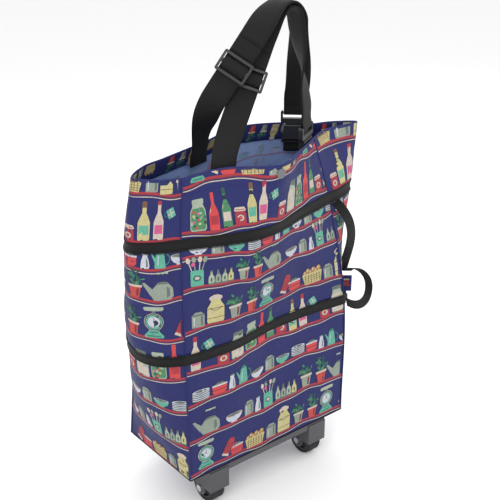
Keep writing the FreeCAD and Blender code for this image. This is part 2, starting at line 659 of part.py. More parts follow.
TAB = (386, 55, 225)
tab_across = Vector(0.78, -0.63, 0)
tab_top = bag_point(TAB[0], TAB[1], TAB[2] + 16)
upper_exit, lower_exit = bag_point(303, -4, 424), bag_point(341, -4, 226)
upper_tail = [bezier(upper_exit, Vector(34, -34, -44), tab_top + Vector(2, 3, 8), Vector(-6, 4, -45), k / 8)
              for k in range(9)]
tape_run("zip_tail_upper", upper_tail, Vector(0.54, -0.46, 0.70), tab_across)
lower_tail = [bezier(lower_exit, Vector(24, -16, -20), bag_point(406, 8, 236), Vector(2, 6, 26), k / 5)
              for k in range(5)]
lower_tail += [bezier(bag_point(406, 8, 236), Vector(2, 8, 24), tab_top + Vector(6, -5, 9),
                      Vector(-4, 8, -14), k / 4) for k in range(5)]
tape_run("zip_tail_lower", lower_tail, Vector(0, 0.3, 1), tab_across * -1)
tab_frame = frame_at(bag_point(*TAB), tab_across, Z_AXIS)
tab_plate = local_box(-17, -2, -16, 34, 4, 32)
tab_plate = tab_plate.makeFillet(1.2, tab_plate.Edges)
solid_feature("zip_end_tab", tab_plate, tab_frame)
stub = local_box(-8, -0.6, -40, 16, 1.2, 23.8)
solid_feature("zip_stub", stub, tab_frame)
slider = local_box(-5, -3.4, -34, 10, 2.4, 12).fuse(local_box(-5, 1, -34, 10, 2.4, 12))
slider = slider.fuse(local_box(8.4, -3.4, -34, 2, 6.8, 12).fuse(local_box(4.9, -3.4, -34, 3.6, 2.4, 12)))
slider = slider.fuse(local_box(4.9, 1, -34, 3.6, 2.4, 12)).removeSplitter()
bail = local_box(-1.4, -9, -33, 2.8, 5.7, 10).cut(local_box(-2, -7.5, -31, 4, 3.9, 6))
solid_feature("zip_slider", slider.fuse(bail).removeSplitter(), tab_frame)
puller = local_box(-4.5, -6, -54, 9, 1.2, 26.3)
puller = puller.cut(local_box(-2, -7, -34.9, 4, 4, 5.6))
solid_feature("zip_puller", puller, tab_frame)

# ---------------------------------------------------------------- check, then write one file per sub-part
doc.recompute()
for feature in doc.Objects:
    if {"Invalid", "Error"} & set(feature.State):
        raise RuntimeError(f"{feature.Label} failed: {feature.State}")
for name, feature in nodes.items():
    if feature.Shape.isNull() or not feature.Shape.isValid() or feature.Shape.Volume <= 0:
        raise RuntimeError(f"{name} has no valid solid")
os.makedirs("parts", exist_ok=True)
for name, feature in nodes.items():
    feature.Shape.exportStep(f"parts/{name}.step")
print(len(nodes), "sub-parts")
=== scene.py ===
"""Folding shopping bag on two wheels: cloth, print, webbing, zips and materials round the CAD frame.

Lengths in this script are millimetres in the bag's own corner frame (x to the right, y to the back and
z up from the front left bottom corner) until place() turns them into metres of the shared frame.
"""
import bmesh
import bpy
import math
import random
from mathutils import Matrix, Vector, noise


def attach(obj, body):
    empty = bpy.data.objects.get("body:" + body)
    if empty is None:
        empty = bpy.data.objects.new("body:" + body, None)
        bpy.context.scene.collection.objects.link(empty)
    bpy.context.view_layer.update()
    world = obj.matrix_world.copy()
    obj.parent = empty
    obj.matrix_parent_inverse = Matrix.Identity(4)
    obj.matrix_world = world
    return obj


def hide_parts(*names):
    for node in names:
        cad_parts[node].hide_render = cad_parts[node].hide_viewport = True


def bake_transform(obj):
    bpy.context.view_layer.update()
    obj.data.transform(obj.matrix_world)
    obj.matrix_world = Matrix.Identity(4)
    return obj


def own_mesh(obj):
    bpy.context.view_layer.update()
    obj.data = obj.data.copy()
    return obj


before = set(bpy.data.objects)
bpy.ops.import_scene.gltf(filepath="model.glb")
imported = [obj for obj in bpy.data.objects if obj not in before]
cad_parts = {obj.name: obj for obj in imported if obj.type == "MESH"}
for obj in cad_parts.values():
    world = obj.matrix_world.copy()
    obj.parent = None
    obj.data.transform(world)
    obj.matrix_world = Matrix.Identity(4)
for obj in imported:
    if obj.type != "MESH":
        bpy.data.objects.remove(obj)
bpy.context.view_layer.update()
RANDOM = random.Random(7)
CORNER = Vector((-170, -66, 78))        # front left bottom corner of the bag, in the shared frame


def place(point):
    """Bag millimetres to shared metres."""
    return (Vector(point) + CORNER) * 0.001


# ---------------------------------------------------------------- camera, light and floor
def studio():
    """A camera at eye height, four soft lamps, a white world and a pale floor."""
    scene = bpy.context.scene
    camera = bpy.data.objects.new("camera", bpy.data.cameras.new("camera"))
    scene.collection.objects.link(camera)
    camera.location = (-0.93794, -1.17575, 1.11608)
    camera.rotation_euler = (1.141321, 0, -0.678088)
    camera.data.lens = 72
    camera.data.clip_start = 0.01
    scene.camera = camera
    for name, spot, size, power in (("key", (-1.6, -1.4, 1.9), 1.4, 22), ("fill", (1.6, -1.3, 1.2), 1.8, 9),
                                    ("top", (0.1, 0.3, 2.4), 1.6, 12), ("rear", (0.6, 1.8, 1.3), 1.6, 9)):
        lamp = bpy.data.objects.new(name, bpy.data.lights.new(name, "AREA"))
        lamp.data.size, lamp.data.energy = size, power
        lamp.location = spot
        lamp.rotation_euler = (Vector((0, 0, 0.35)) - Vector(spot)).to_track_quat("-Z", "Y").to_euler()
        scene.collection.objects.link(lamp)
    world = bpy.data.worlds.new("studio")
    world.use_nodes = True
    world.node_tree.nodes["Background"].inputs["Color"].default_value = (1, 1, 1, 1)
    world.node_tree.nodes["Background"].inputs["Strength"].default_value = 1.0
    scene.world = world
    scene.view_settings.view_transform = "Standard"
    mesh = bpy.data.meshes.new("floor")
    reach = 60
    mesh.from_pydata([(-reach, -reach, 0), (reach, -reach, 0), (reach, reach, 0), (-reach, reach, 0)], [],
                     [(0, 1, 2, 3)])
    floor = bpy.data.objects.new("floor", mesh)
    scene.collection.objects.link(floor)
    material = bpy.data.materials.new("floor")
    material.use_nodes = True
    shader = material.node_tree.nodes["Principled BSDF"]
    shader.inputs["Base Color"].default_value = (0.92, 0.92, 0.92, 1)
    shader.inputs["Roughness"].default_value = 0.9
    mesh.materials.append(material)


studio()


# ---------------------------------------------------------------- materials
def srgb(red, green, blue):
    """A colour given as 0 to 255 screen values, in linear light."""
    parts = [c / 255 for c in (red, green, blue)]
    return [c / 12.92 if c < 0.04045 else ((c + 0.055) / 1.055) ** 2.4 for c in parts] + [1.0]


class Nodes:
    """A material under construction: a few one-line helpers round its node tree."""

    COLOUR_MIX = (0, 6, 7)      # the mix node's sockets for the share and for two colours

    def __init__(self, name, roughness, sheen=0.0, metallic=0.0, coat=0.0, specular=0.5):
        self.material = bpy.data.materials.new(name)
        self.material.use_nodes = True
        self.tree = self.material.node_tree
        self.shader = self.tree.nodes["Principled BSDF"]
        for socket, value in (("Roughness", roughness), ("Sheen Weight", sheen), ("Metallic", metallic),
                              ("Coat Weight", coat), ("Specular IOR Level", specular),
                              ("Sheen Roughness", 0.4), ("Coat Roughness", 0.2)):
            self.shader.inputs[socket].default_value = value

    def add(self, kind, **inputs):
        node = self.tree.nodes.new(kind)
        for name, value in inputs.items():
            self.feed(node, name.replace("_", " "), value)
        return node

    def feed(self, node, name, value):
        """Links or sets one input, given by its name or number."""
        socket = node.inputs[name]
        if isinstance(value, bpy.types.NodeSocket):
            self.tree.links.new(value, socket)
        else:
            socket.default_value = value

    def math(self, operation, a, b=0.0):
        node = self.tree.nodes.new("ShaderNodeMath")
        node.operation = operation
        self.feed(node, 0, a)
        self.feed(node, 1, b)
        return node.outputs[0]

    def mix(self, share, a, b):
        node = self.tree.nodes.new("ShaderNodeMix")
        node.data_type = "RGBA"
        for socket, value in zip(self.COLOUR_MIX, (share, a, b)):
            self.feed(node, socket, value)
        return node.outputs[2]

    def noise(self, scale, detail=3.0, where=None):
        node = self.add("ShaderNodeTexNoise", Scale=scale, Detail=detail)
        self.tree.links.new(where or self.coords("Object"), node.inputs["Vector"])
        return node.outputs["Fac"]

    def coords(self, kind):
        return self.add("ShaderNodeTexCoord").outputs[kind]

    def ribs(self, pitch, axis, where=None, lean=0.0):
        """0 to 1 to 0 across each rib of this pitch, in metres, along one axis of the coordinates."""
        split = self.add("ShaderNodeSeparateXYZ")
        self.tree.links.new(where or self.coords("UV"), split.inputs[0])
        run = split.outputs[axis]
        if lean:
            run = self.math("ADD", run, self.math("MULTIPLY", split.outputs[1 - axis], lean))
        return self.math("ABSOLUTE", self.math("SINE", self.math("MULTIPLY", run, math.pi / pitch)))

    def bump(self, height, strength, distance, onto=None):
        node = self.add("ShaderNodeBump", Strength=strength, Distance=distance)
        self.tree.links.new(height, node.inputs["Height"])
        if onto:
            self.tree.links.new(onto, node.inputs["Normal"])
        return node.outputs["Normal"]

    def finish(self, colour, normal=None, roughness=None):
        for name, value in (("Base Color", colour), ("Normal", normal), ("Roughness", roughness)):
            if value is not None:
                self.feed(self.shader, name, value)
        return self.material


def cloth_material(name, colour=None, fade=0.0):
    """Plain woven polyester with a soft sheen; without a colour it takes the mesh's printed tint."""
    m = Nodes(name, 0.58, sheen=0.02, specular=0.25)
    weave = m.math("MULTIPLY", m.ribs(0.00055, 0), m.ribs(0.00055, 1))
    blotch = m.noise(35.0)
    if colour is None:
        tint = m.add("ShaderNodeVertexColor")
        tint.layer_name = "Tint"
        wash = m.math("MULTIPLY", m.noise(330.0, 2.0), 0.75)
        base = m.mix(wash, tint.outputs["Color"], m.mix(0.62, tint.outputs["Color"], (0.02, 0.03, 0.04, 1)))
    else:
        rgb = m.add("ShaderNodeRGB")
        rgb.outputs[0].default_value = colour
        base = rgb.outputs[0]
    if fade:
        base = m.mix(fade, base, srgb(150, 172, 218))
    shade = m.mix(m.math("MULTIPLY", blotch, 0.22), base, (0.02, 0.02, 0.05, 1))
    # A faint painted highlight: the cloth is lightened on the crests of the weave, where the bump also rises.
    shade = m.mix(m.math("MULTIPLY", weave, 0.02), shade, (0.9, 0.9, 1.0, 1))
    crease = m.bump(m.noise(38.0, 4.0), 0.6, 0.0025)
    rough = m.math("ADD", 0.52, m.math("MULTIPLY", blotch, 0.2))
    return m.finish(shade, m.bump(weave, 0.3, 0.0002, crease), rough)


def webbing_material(name, shade, pitch=0.0021):
    m = Nodes(name, 0.7, sheen=0.03, specular=0.25)
    rib = m.ribs(pitch, 0, lean=0.12)
    yarn = m.ribs(0.0011, 1)
    fuzz = m.noise(420.0)
    # Painted shade and highlight: the colour follows the rib relief, darker in the grooves between the ribs
    # and lighter on their crests.
    colour = m.mix(rib, [shade * 0.35] * 3 + [1], [shade * 1.5] * 3 + [1])
    colour = m.mix(m.math("MULTIPLY", fuzz, 0.5), colour, [shade * 1.9] * 3 + [1])
    relief = m.math("ADD", m.math("MULTIPLY", rib, 0.8), m.math("MULTIPLY", yarn, 0.25))
    return m.finish(colour, m.bump(relief, 0.8, 0.0006), m.math("ADD", 0.55, m.math("MULTIPLY", fuzz, 0.25)))


def plastic_material(name, colour, roughness, grain, coat=0.0):
    """Moulded plastic: fine spark grain, a faint mottle and slightly rubbed high spots."""
    m = Nodes(name, roughness, coat=coat, specular=0.45)
    speckle = m.noise(grain, 2.0)
    mottle = m.noise(22.0)
    worn = [min(1.0, c * 1.7 + 0.01) for c in colour[:3]] + [1]
    shade = m.mix(m.math("MULTIPLY", mottle, 0.5), colour, worn)
    rough = m.math("ADD", roughness - 0.08, m.math("MULTIPLY", mottle, 0.18))
    return m.finish(shade, m.bump(speckle, 0.25, 0.0002), rough)


def metal_material(name, colour, roughness):
    m = Nodes(name, roughness, metallic=1.0)
    scratch = m.noise(260.0, 5.0)
    shade = m.mix(m.math("MULTIPLY", scratch, 0.4), colour, [c * 0.6 for c in colour[:3]] + [1])
    rough = m.math("ADD", roughness, m.math("MULTIPLY", scratch, 0.15))
    return m.finish(shade, m.bump(scratch, 0.12, 0.0001), rough)


def tyre_material():
    m = Nodes("tyre_rubber", 0.85, specular=0.3)
    dust = m.noise(60.0, 4.0)
    shade = m.mix(m.math("MULTIPLY", dust, 0.5), (0.012, 0.012, 0.013, 1), (0.05, 0.05, 0.05, 1))
    return m.finish(shade, m.bump(m.noise(900.0), 0.3, 0.0002))


NAVY = srgb(16, 24, 88)
MAT = {
    "print": cloth_material("printed_cloth"),
    "navy": cloth_material("navy_cloth", NAVY),
    "lining": cloth_material("lining_cloth", srgb(150, 174, 222)),
    "faint": cloth_material("wrong_side_print", fade=0.55),
    "webbing": webbing_material("black_webbing", 0.0038),
    "tape": webbing_material("zip_tape_cloth", 0.0042, 0.0009),
    "acetal": plastic_material("black_acetal", srgb(30, 30, 31), 0.32, 1500, coat=0.15),
    "slide": plastic_material("slide_plastic", srgb(24, 24, 25), 0.42, 1500),
    "carrier": plastic_material("carrier_plastic", srgb(62, 62, 66), 0.45, 1100),
    "hub": plastic_material("hub_plastic", srgb(34, 34, 35), 0.5, 1100),
    "board": plastic_material("board_plastic", srgb(60, 60, 62), 0.6, 700),
    "stud": plastic_material("stud_plastic", srgb(92, 92, 96), 0.38, 1500, coat=0.2),
    "steel": metal_material("bright_steel", (0.72, 0.72, 0.74, 1), 0.22),
    "tyre": tyre_material(),
}
CAD_LOOKS = {
    "acetal": ("buckle_", "zip_slider", "zip_puller"), "slide": ("adjuster_front", "adjuster_back"),
    "carrier": ("wheel_carrier", "wheel_housing"), "hub": ("wheel_hub",), "tyre": ("tyre_",),
    "steel": ("axle_", "carrier_screws"), "stud": ("stud_",), "board": ("base_board",),
}
for look, starts in CAD_LOOKS.items():
    for name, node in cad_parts.items():
        if name.startswith(starts) and "webbing" not in name:
            node.data.materials.clear()
            node.data.materials.append(MAT[look])


# ---------------------------------------------------------------- the bag's surface
# Plan outline at four heights; each side has four stretches from its first seam to the next side's seam.
OUTLINE = {
    0: [[(0, 0), (85, 0), (170, 0), (255, 0)], [(340, 0), (340, 45), (340, 90), (340, 135)],
        [(340, 180), (255, 180), (170, 180), (85, 180)], [(0, 180), (0, 135), (0, 90), (0, 45)]],
    232: [[(-3, 0), (85, -8), (170, 4), (255, 6)], [(334, -3), (350, 30), (358, 75), (350, 120)],
          [(334, 155), (255, 168), (170, 172), (85, 168)], [(4, 152), (-35, 115), (-52, 66), (-38, 25)]],
    430: [[(-3, 2), (75, -27), (140, -38), (215, -16)], [(297, 5), (332, 14), (372, 36), (368, 76)],
          [(345, 105), (260, 135), (170, 140), (85, 128)], [(12, 115), (-35, 92), (-66, 48), (-38, 18)]],
    533: [[(2, 1), (76, -2), (150, -44), (215, -14)], [(272, 18), (318, 40), (390, 40), (362, 66)],
          [(328, 78), (285, 118), (215, 143), (125, 116)], [(28, 91), (-15, 80), (-54, 48), (-28, 16)]],
}
HEIGHTS = sorted(OUTLINE)
FRONT, RIGHT, BACK, LEFT = range(4)
WIDTHS = (340, 180, 340, 180)
ZIPS = {"lower": 232.0, "upper": 430.0}
ZIP_HALF = 8.5
RIM = 533.0
FOLD_LOW, FOLD_HIGH = ZIPS["lower"] + ZIP_HALF, ZIPS["upper"] - ZIP_HALF


def blend(p0, p1, p2, p3, u, gaps=(1, 1, 1)):
    slope1 = (p2 - p0) * (gaps[1] / (gaps[0] + gaps[1]))
    slope2 = (p3 - p1) * (gaps[1] / (gaps[1] + gaps[2]))
    return (p1 * (2 * u ** 3 - 3 * u ** 2 + 1) + slope1 * (u ** 3 - 2 * u ** 2 + u)
            + p2 * (3 * u ** 2 - 2 * u ** 3) + slope2 * (u ** 3 - u ** 2))


_known = {}


def controls(side, z):
    """The side's five outline points at this height, with one straight-on point past each end."""
    key = (side, round(z, 2))
    if key not in _known:
        level = min(max(z, 0), RIM)
        top = min(n for n in range(1, 4) if level <= HEIGHTS[n] or n == 3)
        picks = [HEIGHTS[max(0, min(3, n))] for n in (top - 2, top - 1, top, top + 1)]
        gaps = [b - a for a, b in zip(picks, picks[1:])]
        u = (level - HEIGHTS[top - 1]) / (HEIGHTS[top] - HEIGHTS[top - 1])
        rows = [OUTLINE[h][side] + OUTLINE[h][(side + 1) % 4][:1] for h in picks]
        five = [blend(*(Vector(row[k]) for row in rows), u, gaps) for k in range(5)]
        _known[key] = [five[0] * 2 - five[1]] + five + [five[4] * 2 - five[3]]
    return _known[key]


def plan(side, share, z):
    """The outline in plan, share of the way along a side at a height."""
    known = controls(side, z)
    n = min(3, int(share * 4))
    return blend(*known[n:n + 4], share * 4 - n)


def outward(side, share, z):
    """Outward direction of a side in plan, mitred where two sides meet."""
    def of(which, at):
        run = plan(which, min(1, at + 0.01), z) - plan(which, max(0, at - 0.01), z)
        return Vector((run.y, -run.x)).normalized()
    here = of(side, share)
    if share < 1e-6 or share > 1 - 1e-6:
        other = of((side - 1) % 4, 1.0) if share < 0.5 else of((side + 1) % 4, 0.0)
        return (here + other) / (1 + here.dot(other))
    return here


def wrinkle(side, share, z):
    """How far the cloth stands out from its outline: slack folds, puffed between seams and zips."""
    edge = math.sin(math.pi * min(1, max(0, share))) ** 0.6
    along = share * WIDTHS[side]
    slack = noise.noise(Vector((along / 75 + side * 9.7, z / 95, 1.3)))
    fine = noise.noise(Vector((along / 26 + side * 5.1, z / 38, 7.7)))
    tug = noise.noise(Vector(((along + z * 0.7) / 33, (along - z) / 160, side * 3.1)))
    calm = min(1, z / 45) * (0.35 if z > 495 else 1.0)
    cinch = sum(math.exp(-((z - level) / 9) ** 2) for level in ZIPS.values())
    puff = 2.2 * (1 - cinch) * min(1, z / 60, (RIM + 12 - z) / 60)
    return edge * (calm * (2.6 * slack + 0.75 * fine + 1.1 * tug) * (1 - 0.6 * cinch) + puff)


def surface(side, share, z, out=0.0):
    """A point of the bag's cloth, out millimetres outside it."""
    flat = plan(side, share, z) + outward(side, share, z) * (out + wrinkle(side, share, z))
    return Vector((flat.x, flat.y, z))


def new_piece(name, points, faces, materials, body, replaced=(), marks=None, uvs=None):
    """A mesh piece from bag millimetres, with its material per face, riding on a body."""
    mesh = bpy.data.meshes.new(name)
    mesh.from_pydata([place(p) for p in points], [], faces)
    for material in materials:
        mesh.materials.append(material)
    if marks:
        mesh.polygons.foreach_set("material_index", marks)
    if uvs:
        layer = mesh.uv_layers.new(name="UVMap")
        for loop in mesh.loops:
            u, v = uvs[loop.vertex_index]
            layer.data[loop.index].uv = (u * 0.001, v * 0.001)
    mesh.polygons.foreach_set("use_smooth", [True] * len(mesh.polygons))
    mesh.validate()
    piece = bpy.data.objects.new(name, mesh)
    bpy.context.scene.collection.objects.link(piece)
    if replaced:
        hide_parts(*replaced)
    if body:
        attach(piece, body)
    return piece


def sew(name, shape, look, body, replaced=()):
    """A piece of one material from its (points, faces, uvs)."""
    points, faces, uvs = shape
    return new_piece(name, points, faces, [MAT[look]], body, replaced, uvs=uvs)


LINING_DEPTH = 1.6  # the lining is this far inside the outer face
STEPS = 52          # columns of the cloth mesh on each side


def strips(rings, count):
    """Faces between each ring of count points and the next one."""
    faces = []
    for n in range(rings - 1):
        for k in range(count):
            a, b = n * count + k, n * count + (k + 1) % count
            faces.append((a, b, b + count, a + count))
    return faces


def grid_faces(count, start=0, flipped=False):
    """Faces of a square grid of points, count faces each way."""
    corners = [start + n * (count + 1) + k for n in range(count) for k in range(count)]
    faces = [(a, a + 1, a + count + 2, a + count + 1) for a in corners]
    return [face[::-1] for face in faces] if flipped else faces


def ends_of(total, count):
    """The two end faces of a strip that is closed at both ends."""
    return [tuple(reversed(range(count))), tuple(range(total - count, total))]


def around(rows):
    """A band right round the bag from rows of (z, offset, material): points, faces, marks and UVs."""
    ring = [(side, k / STEPS) for side in range(4) for k in range(STEPS)]
    points, uvs = [], []
    for z, out, _ in rows:
        for side, share in ring:
            points.append(surface(side, share, z, out))
            uvs.append((sum(WIDTHS[:side]) + share * WIDTHS[side], z))
    marks = [mark for _, _, mark in rows[:-1] for _ in ring]
    return points, strips(len(rows), len(ring)), marks, uvs


def section_rows(low, high, inner=-LINING_DEPTH):
    """Outer face going up, then the lining going down, closed over the edges."""
    count = max(2, round((high - low) / 5.2))
    levels = [low + (high - low) * n / count for n in range(count + 1)]
    return ([(low, inner, 1)] + [(z, 0.0, 0) for z in levels], [(z, inner, 1) for z in reversed(levels)])


def bag_sections():
    """The cloth of the three sections: outer face, lining, and the hem's facing on the upper one."""
    spans = {"lower": (0, FOLD_LOW, "base"), "middle": (FOLD_LOW, FOLD_HIGH, None),
             "upper": (FOLD_HIGH, RIM, "upper_bag")}
    for name, (low, high, body) in spans.items():
        outer, inner = section_rows(low, high)
        if name == "upper":
            facing = [(RIM + 0.9, -0.5, 2), (RIM + 1.3, -1.5, 2), (RIM + 0.9, -2.5, 2), (RIM, -3.0, 2)]
            facing += [(RIM - 5.6 * n, -3.0, 2) for n in range(1, 6)] + [(RIM - 28.6, -1.7, 1)]
            rows = outer + facing + [row for row in inner if row[0] < RIM - 29]
        else:
            rows = outer + inner
        points, faces, marks, uvs = around(rows)
        replaced = [f"{name}_{side}_panel" for side in ("front", "right", "back", "left")]
        piece = new_piece(f"cloth_{name}", points, faces, [MAT["navy"], MAT["lining"], MAT["navy"]],
                          body, replaced + (["hem_facing"] if name == "upper" else []), marks, uvs)
        if name == "middle":
            fold_with_middle(piece)


def fold_with_middle(piece):
    """The middle section rides on the base, with a mesh of its own."""
    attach(piece, "base")
    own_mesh(piece)


bag_sections()


# ---------------------------------------------------------------- the printed kitchen shelves
TINT = {
    "ink": srgb(24, 26, 50), "red": srgb(176, 40, 50), "dark_red": srgb(120, 28, 40),
    "cream": srgb(212, 198, 182), "teal": srgb(96, 178, 152), "deep_teal": srgb(48, 122, 106),
    "green": srgb(74, 140, 92), "leaf": srgb(34, 86, 62), "yellow": srgb(206, 196, 134),
    "gold": srgb(192, 142, 56), "coral": srgb(216, 66, 62), "stone": srgb(150, 160, 144),
    "shade": srgb(104, 114, 104), "white": srgb(206, 210, 220), "pink": srgb(214, 88, 138),
    "clay": srgb(206, 70, 54), "glass": srgb(172, 184, 164), "brown": srgb(120, 82, 50),
}


def pot(*half):
    """A shape that is the same left and right, from (half width, height) pairs going up."""
    return [(w, h) for w, h in half] + [(-w, h) for w, h in reversed(half)]


def oval(x, y, wide, high, count=16):
    return [(x + wide * math.cos(math.tau * k / count), y + high * math.sin(math.tau * k / count))
            for k in range(count)]


BOW_POINTS = 22


def bow(x, y, radius, width, start, stop, rise=1.0):
    """A curved bar round a centre, such as a handle."""
    turns = [math.radians(start + (stop - start) * k / 10) for k in range(11)]
    outer = [(x + radius * math.cos(a), y + radius * rise * math.sin(a)) for a in turns]
    inner = [(x + (radius - width) * math.cos(a), y + (radius - width) * rise * math.sin(a))
             for a in reversed(turns)]
    return outer + inner


def moved(shape, x, y, turn=0.0, scale=1.0):
    c, s = math.cos(turn) * scale, math.sin(turn) * scale
    return [(x + c * px - s * py, y + s * px + c * py) for px, py in shape]


def leaves(x, y, spread, rise, count, colours):
    drawn = []
    for k in range(count):
        a = math.radians(RANDOM.uniform(20, 160))
        r = RANDOM.uniform(0.25, 1.0)
        leaf = moved(oval(0, 0, 3.4, 1.3, 8), x + spread * r * math.cos(a), y + rise * r * math.sin(a),
                     a + RANDOM.uniform(-0.7, 0.7))
        drawn.append((colours[k % len(colours)], leaf))
    return drawn


def bottle(body, cap, label):
    return [(body, pot((6, 0), (7, 2), (7, 24), (5, 30), (2.4, 36), (2.2, 46))),
            (cap, pot((2.7, 43), (2.7, 50), (1.5, 51))), (label, pot((5.6, 8), (5.6, 20))),
            ("cream", [(-5.6, 25), (-4.6, 25), (-3.6, 30), (-4.4, 30)])]


def jar(fill, lid, dots):
    drawn = [("glass", pot((9, 0), (11, 3), (11, 26), (8, 33), (7.5, 37))),
             (fill, pot((8, 1.5), (9.8, 4), (9.8, 25), (7.4, 30))),
             (lid, pot((8.6, 36), (8.6, 41), (7, 42)))]
    for k in range(9):
        drawn.append((dots[k % len(dots)], oval(RANDOM.uniform(-7, 7), 4 + 2.7 * k, 2.2, 1.7, 8)))
    return drawn


def jam():
    return [("red", pot((8, 0), (9, 2), (9, 14), (7, 17))), ("cream", oval(0, 8, 5.6, 4.4)),
            ("coral", oval(0, 8, 2.4, 2.2, 10)), ("cream", pot((8.6, 17), (9.6, 19), (7.4, 22.5))),
            ("red", pot((8.4, 18.6), (8.2, 19.6)))]


def kettle(body):
    return [("ink", bow(0, 22, 17, 1.3, 8, 172, 1.05)), ("glass", moved(pot((8, -1.4), (8, 1.4)), 0, 40)),
            (body, [(-12, 14), (-26, 27), (-29, 26), (-27, 22), (-17, 6)]),
            (body, pot((12, 0), (16, 5), (15, 17), (9, 24))), ("shade", pot((9, 24), (8, 26.5), (1, 28))),
            ("ink", oval(0, 29, 1.8, 1.5, 8)), ("shade", [(6, 3), (11, 6), (10, 17), (6, 20)])]


def coffee_pot():
    return [("teal", pot((8, 0), (8.6, 3), (6, 22), (5, 26))),
            ("deep_teal", bow(8, 13, 7.5, 1.6, -80, 80, 1.2)),
            ("teal", [(-6, 14), (-13, 24), (-14, 23), (-8, 8)]),
            ("deep_teal", pot((5.2, 26), (4, 29), (1, 31))),
            ("ink", oval(0, 32, 1.3, 1.3, 8)), ("white", [(-4, 5), (-2.5, 5), (-1.8, 20), (-3, 20)])]


def bowl(colour, rim):
    return [(colour, [(14 * math.cos(a), 13 + 12 * math.sin(a)) for a in
                      [math.radians(180 + 12 * k) for k in range(16)]]),
            (rim, oval(0, 13, 14, 2.6)), ("shade", oval(0, 13, 11.6, 1.7)), (colour, pot((5, 0), (4, 3)))]


def plates():
    drawn = []
    for k in range(5):
        drawn += [("shade", oval(0, 3 + 3.1 * k, 14, 3.2)), ("white", oval(0, 4 + 3.1 * k, 14, 3))]
    return drawn + [("shade", oval(0, 16.6, 9, 1.7))]


def plant(body, tall):
    drawn = leaves(0, 18, 14, tall, 34, ("leaf", "green", "leaf", "deep_teal"))
    return drawn + [(body, pot((6.5, 0), (9, 16))), ("cream", pot((10.4, 16), (10.8, 20))),
                    ("shade", pot((10.6, 19.2), (10.8, 20.4))),
                    ("dark_red", [(2, 2), (5, 2), (6.4, 14), (3, 14)])]


def scales():
    return [("teal", pot((13, 0), (14, 3), (8, 10), (6, 16))), ("cream", oval(0, 25, 13.5, 13.5, 24)),
            ("deep_teal", oval(0, 25, 12.2, 12.2, 24)), ("teal", oval(0, 25, 11.6, 11.6, 24)),
            ("white", oval(0, 25, 8.8, 8.8, 20)), ("ink", [(-0.5, 25), (0.5, 25), (0.3, 32), (-0.3, 32)]),
            ("ink", oval(0, 25, 1.1, 1.1, 8)), ("shade", pot((2.4, 38), (2.4, 42))),
            ("glass", pot((12, 42), (14, 45), (13, 47.5), (6, 48))),
            ("deep_teal", pot((9, 2), (10, 4))), ("deep_teal", pot((6, 8), (6.4, 9.6)))]


def glove():
    hand = [(-6, 0), (6, 0), (7, 14), (12, 16), (15, 23), (11, 25), (7, 21), (6, 29), (1, 33), (-5, 31),
            (-7, 24), (-7, 12)]
    stripes = [("dark_red", moved(pot((6, 0), (6, 0.9)), 0, h)) for h in (9, 13, 17, 21)]
    whole = [("red", hand), ("cream", pot((6.6, 0), (6.6, 4)))] + stripes
    return [(colour, moved(shape, 4, 4, -0.45)) for colour, shape in whole]


def basket():
    drawn = [("gold", oval(-13 + 5.2 * k, 19 + 3 * (k % 2), 4.2, 4.6, 12)) for k in range(6)]
    drawn += [("cream", oval(-14 + 5.2 * k, 20.5 + 3 * (k % 2), 1.6, 1.8, 8)) for k in range(6)]
    drawn += [("yellow", pot((15, 0), (19, 17), (18, 18)))]
    drawn += [("brown", moved(pot((16.4, 0), (16.4, 0.7)), 0, 2.5 + 3.4 * k)) for k in range(4)]
    drawn += [("brown", moved(pot((0.5, 0), (0.5, 15)), -13 + 5.2 * k, 1)) for k in range(6)]
    return drawn


def churn():
    return [("yellow", pot((11, 0), (12, 3), (12, 24), (7, 32), (7, 37))),
            ("cream", pot((9, 36), (9, 40), (3, 43))), ("brown", pot((12.1, 7), (12.1, 8))),
            ("brown", pot((12.1, 22), (12.1, 23))), ("ink", bow(0, 26, 9, 1, 200, 340, 0.8)),
            ("cream", [(-9, 9), (-6.5, 9), (-6.5, 21), (-9, 21)]), ("ink", oval(0, 44.4, 1.8, 1.5, 8))]


def utensils():
    stems = [(-6, 0.3, "cream"), (-2, 0.1, "stone"), (3, -0.08, "cream"), (6, -0.28, "stone")]
    drawn = []
    for x, lean, colour in stems:
        drawn += [(colour, moved(pot((0.7, 0), (0.7, 18)), x, 20, lean)),
                  (colour, moved(oval(0, 20, 3, 4.6, 12), x, 20, lean))]
    return drawn + [("pink", oval(-5, 33, 3, 3, 10)), ("teal", pot((8.4, 0), (9, 2), (9, 22), (8, 24))),
                    ("deep_teal", oval(0, 12, 5, 4)), ("cream", oval(0, 12, 3.4, 2.4, 10))]


def canister(body):
    return [(body, pot((8.4, 0), (9, 1.5), (9, 19))), ("shade", pot((9.2, 18), (9.2, 20.5))),
            (body, pot((7.4, 20.5), (4, 24))), ("ink", oval(0, 25, 1.5, 1.3, 8)),
            ("shade", [(3.6, 2), (6.8, 2), (6.8, 17), (3.6, 17)]),
            ("white", [(-6.5, 3), (-5, 3), (-5, 16), (-6.5, 16)])]


def cruets():
    drawn = []
    for k, colour in enumerate(("glass", "stone", "glass", "yellow")):
        x = -15 + 10 * k
        drawn += [(colour, moved(pot((4, 0), (4.6, 3), (4, 11), (1.6, 15), (1.5, 19)), x, 2)),
                  ("shade", oval(x, 22, 2, 1.8, 8)), ("leaf", moved(pot((1.1, 0), (1.1, 6)), x, 5))]
    return drawn + [("shade", pot((20, 0), (20, 2.4))), ("ink", bow(0, 12, 6, 0.9, 20, 160, 2.2))]


def casserole():
    return [("coral", pot((9, 0), (12, 4), (12, 13))), ("white", pot((12.6, 13), (12.6, 15.5))),
            ("shade", pot((11, 15.5), (4, 19.5))), ("ink", oval(0, 20.6, 2, 1.5, 8)),
            ("dark_red", pot((11.8, 6), (12, 7.4)))]


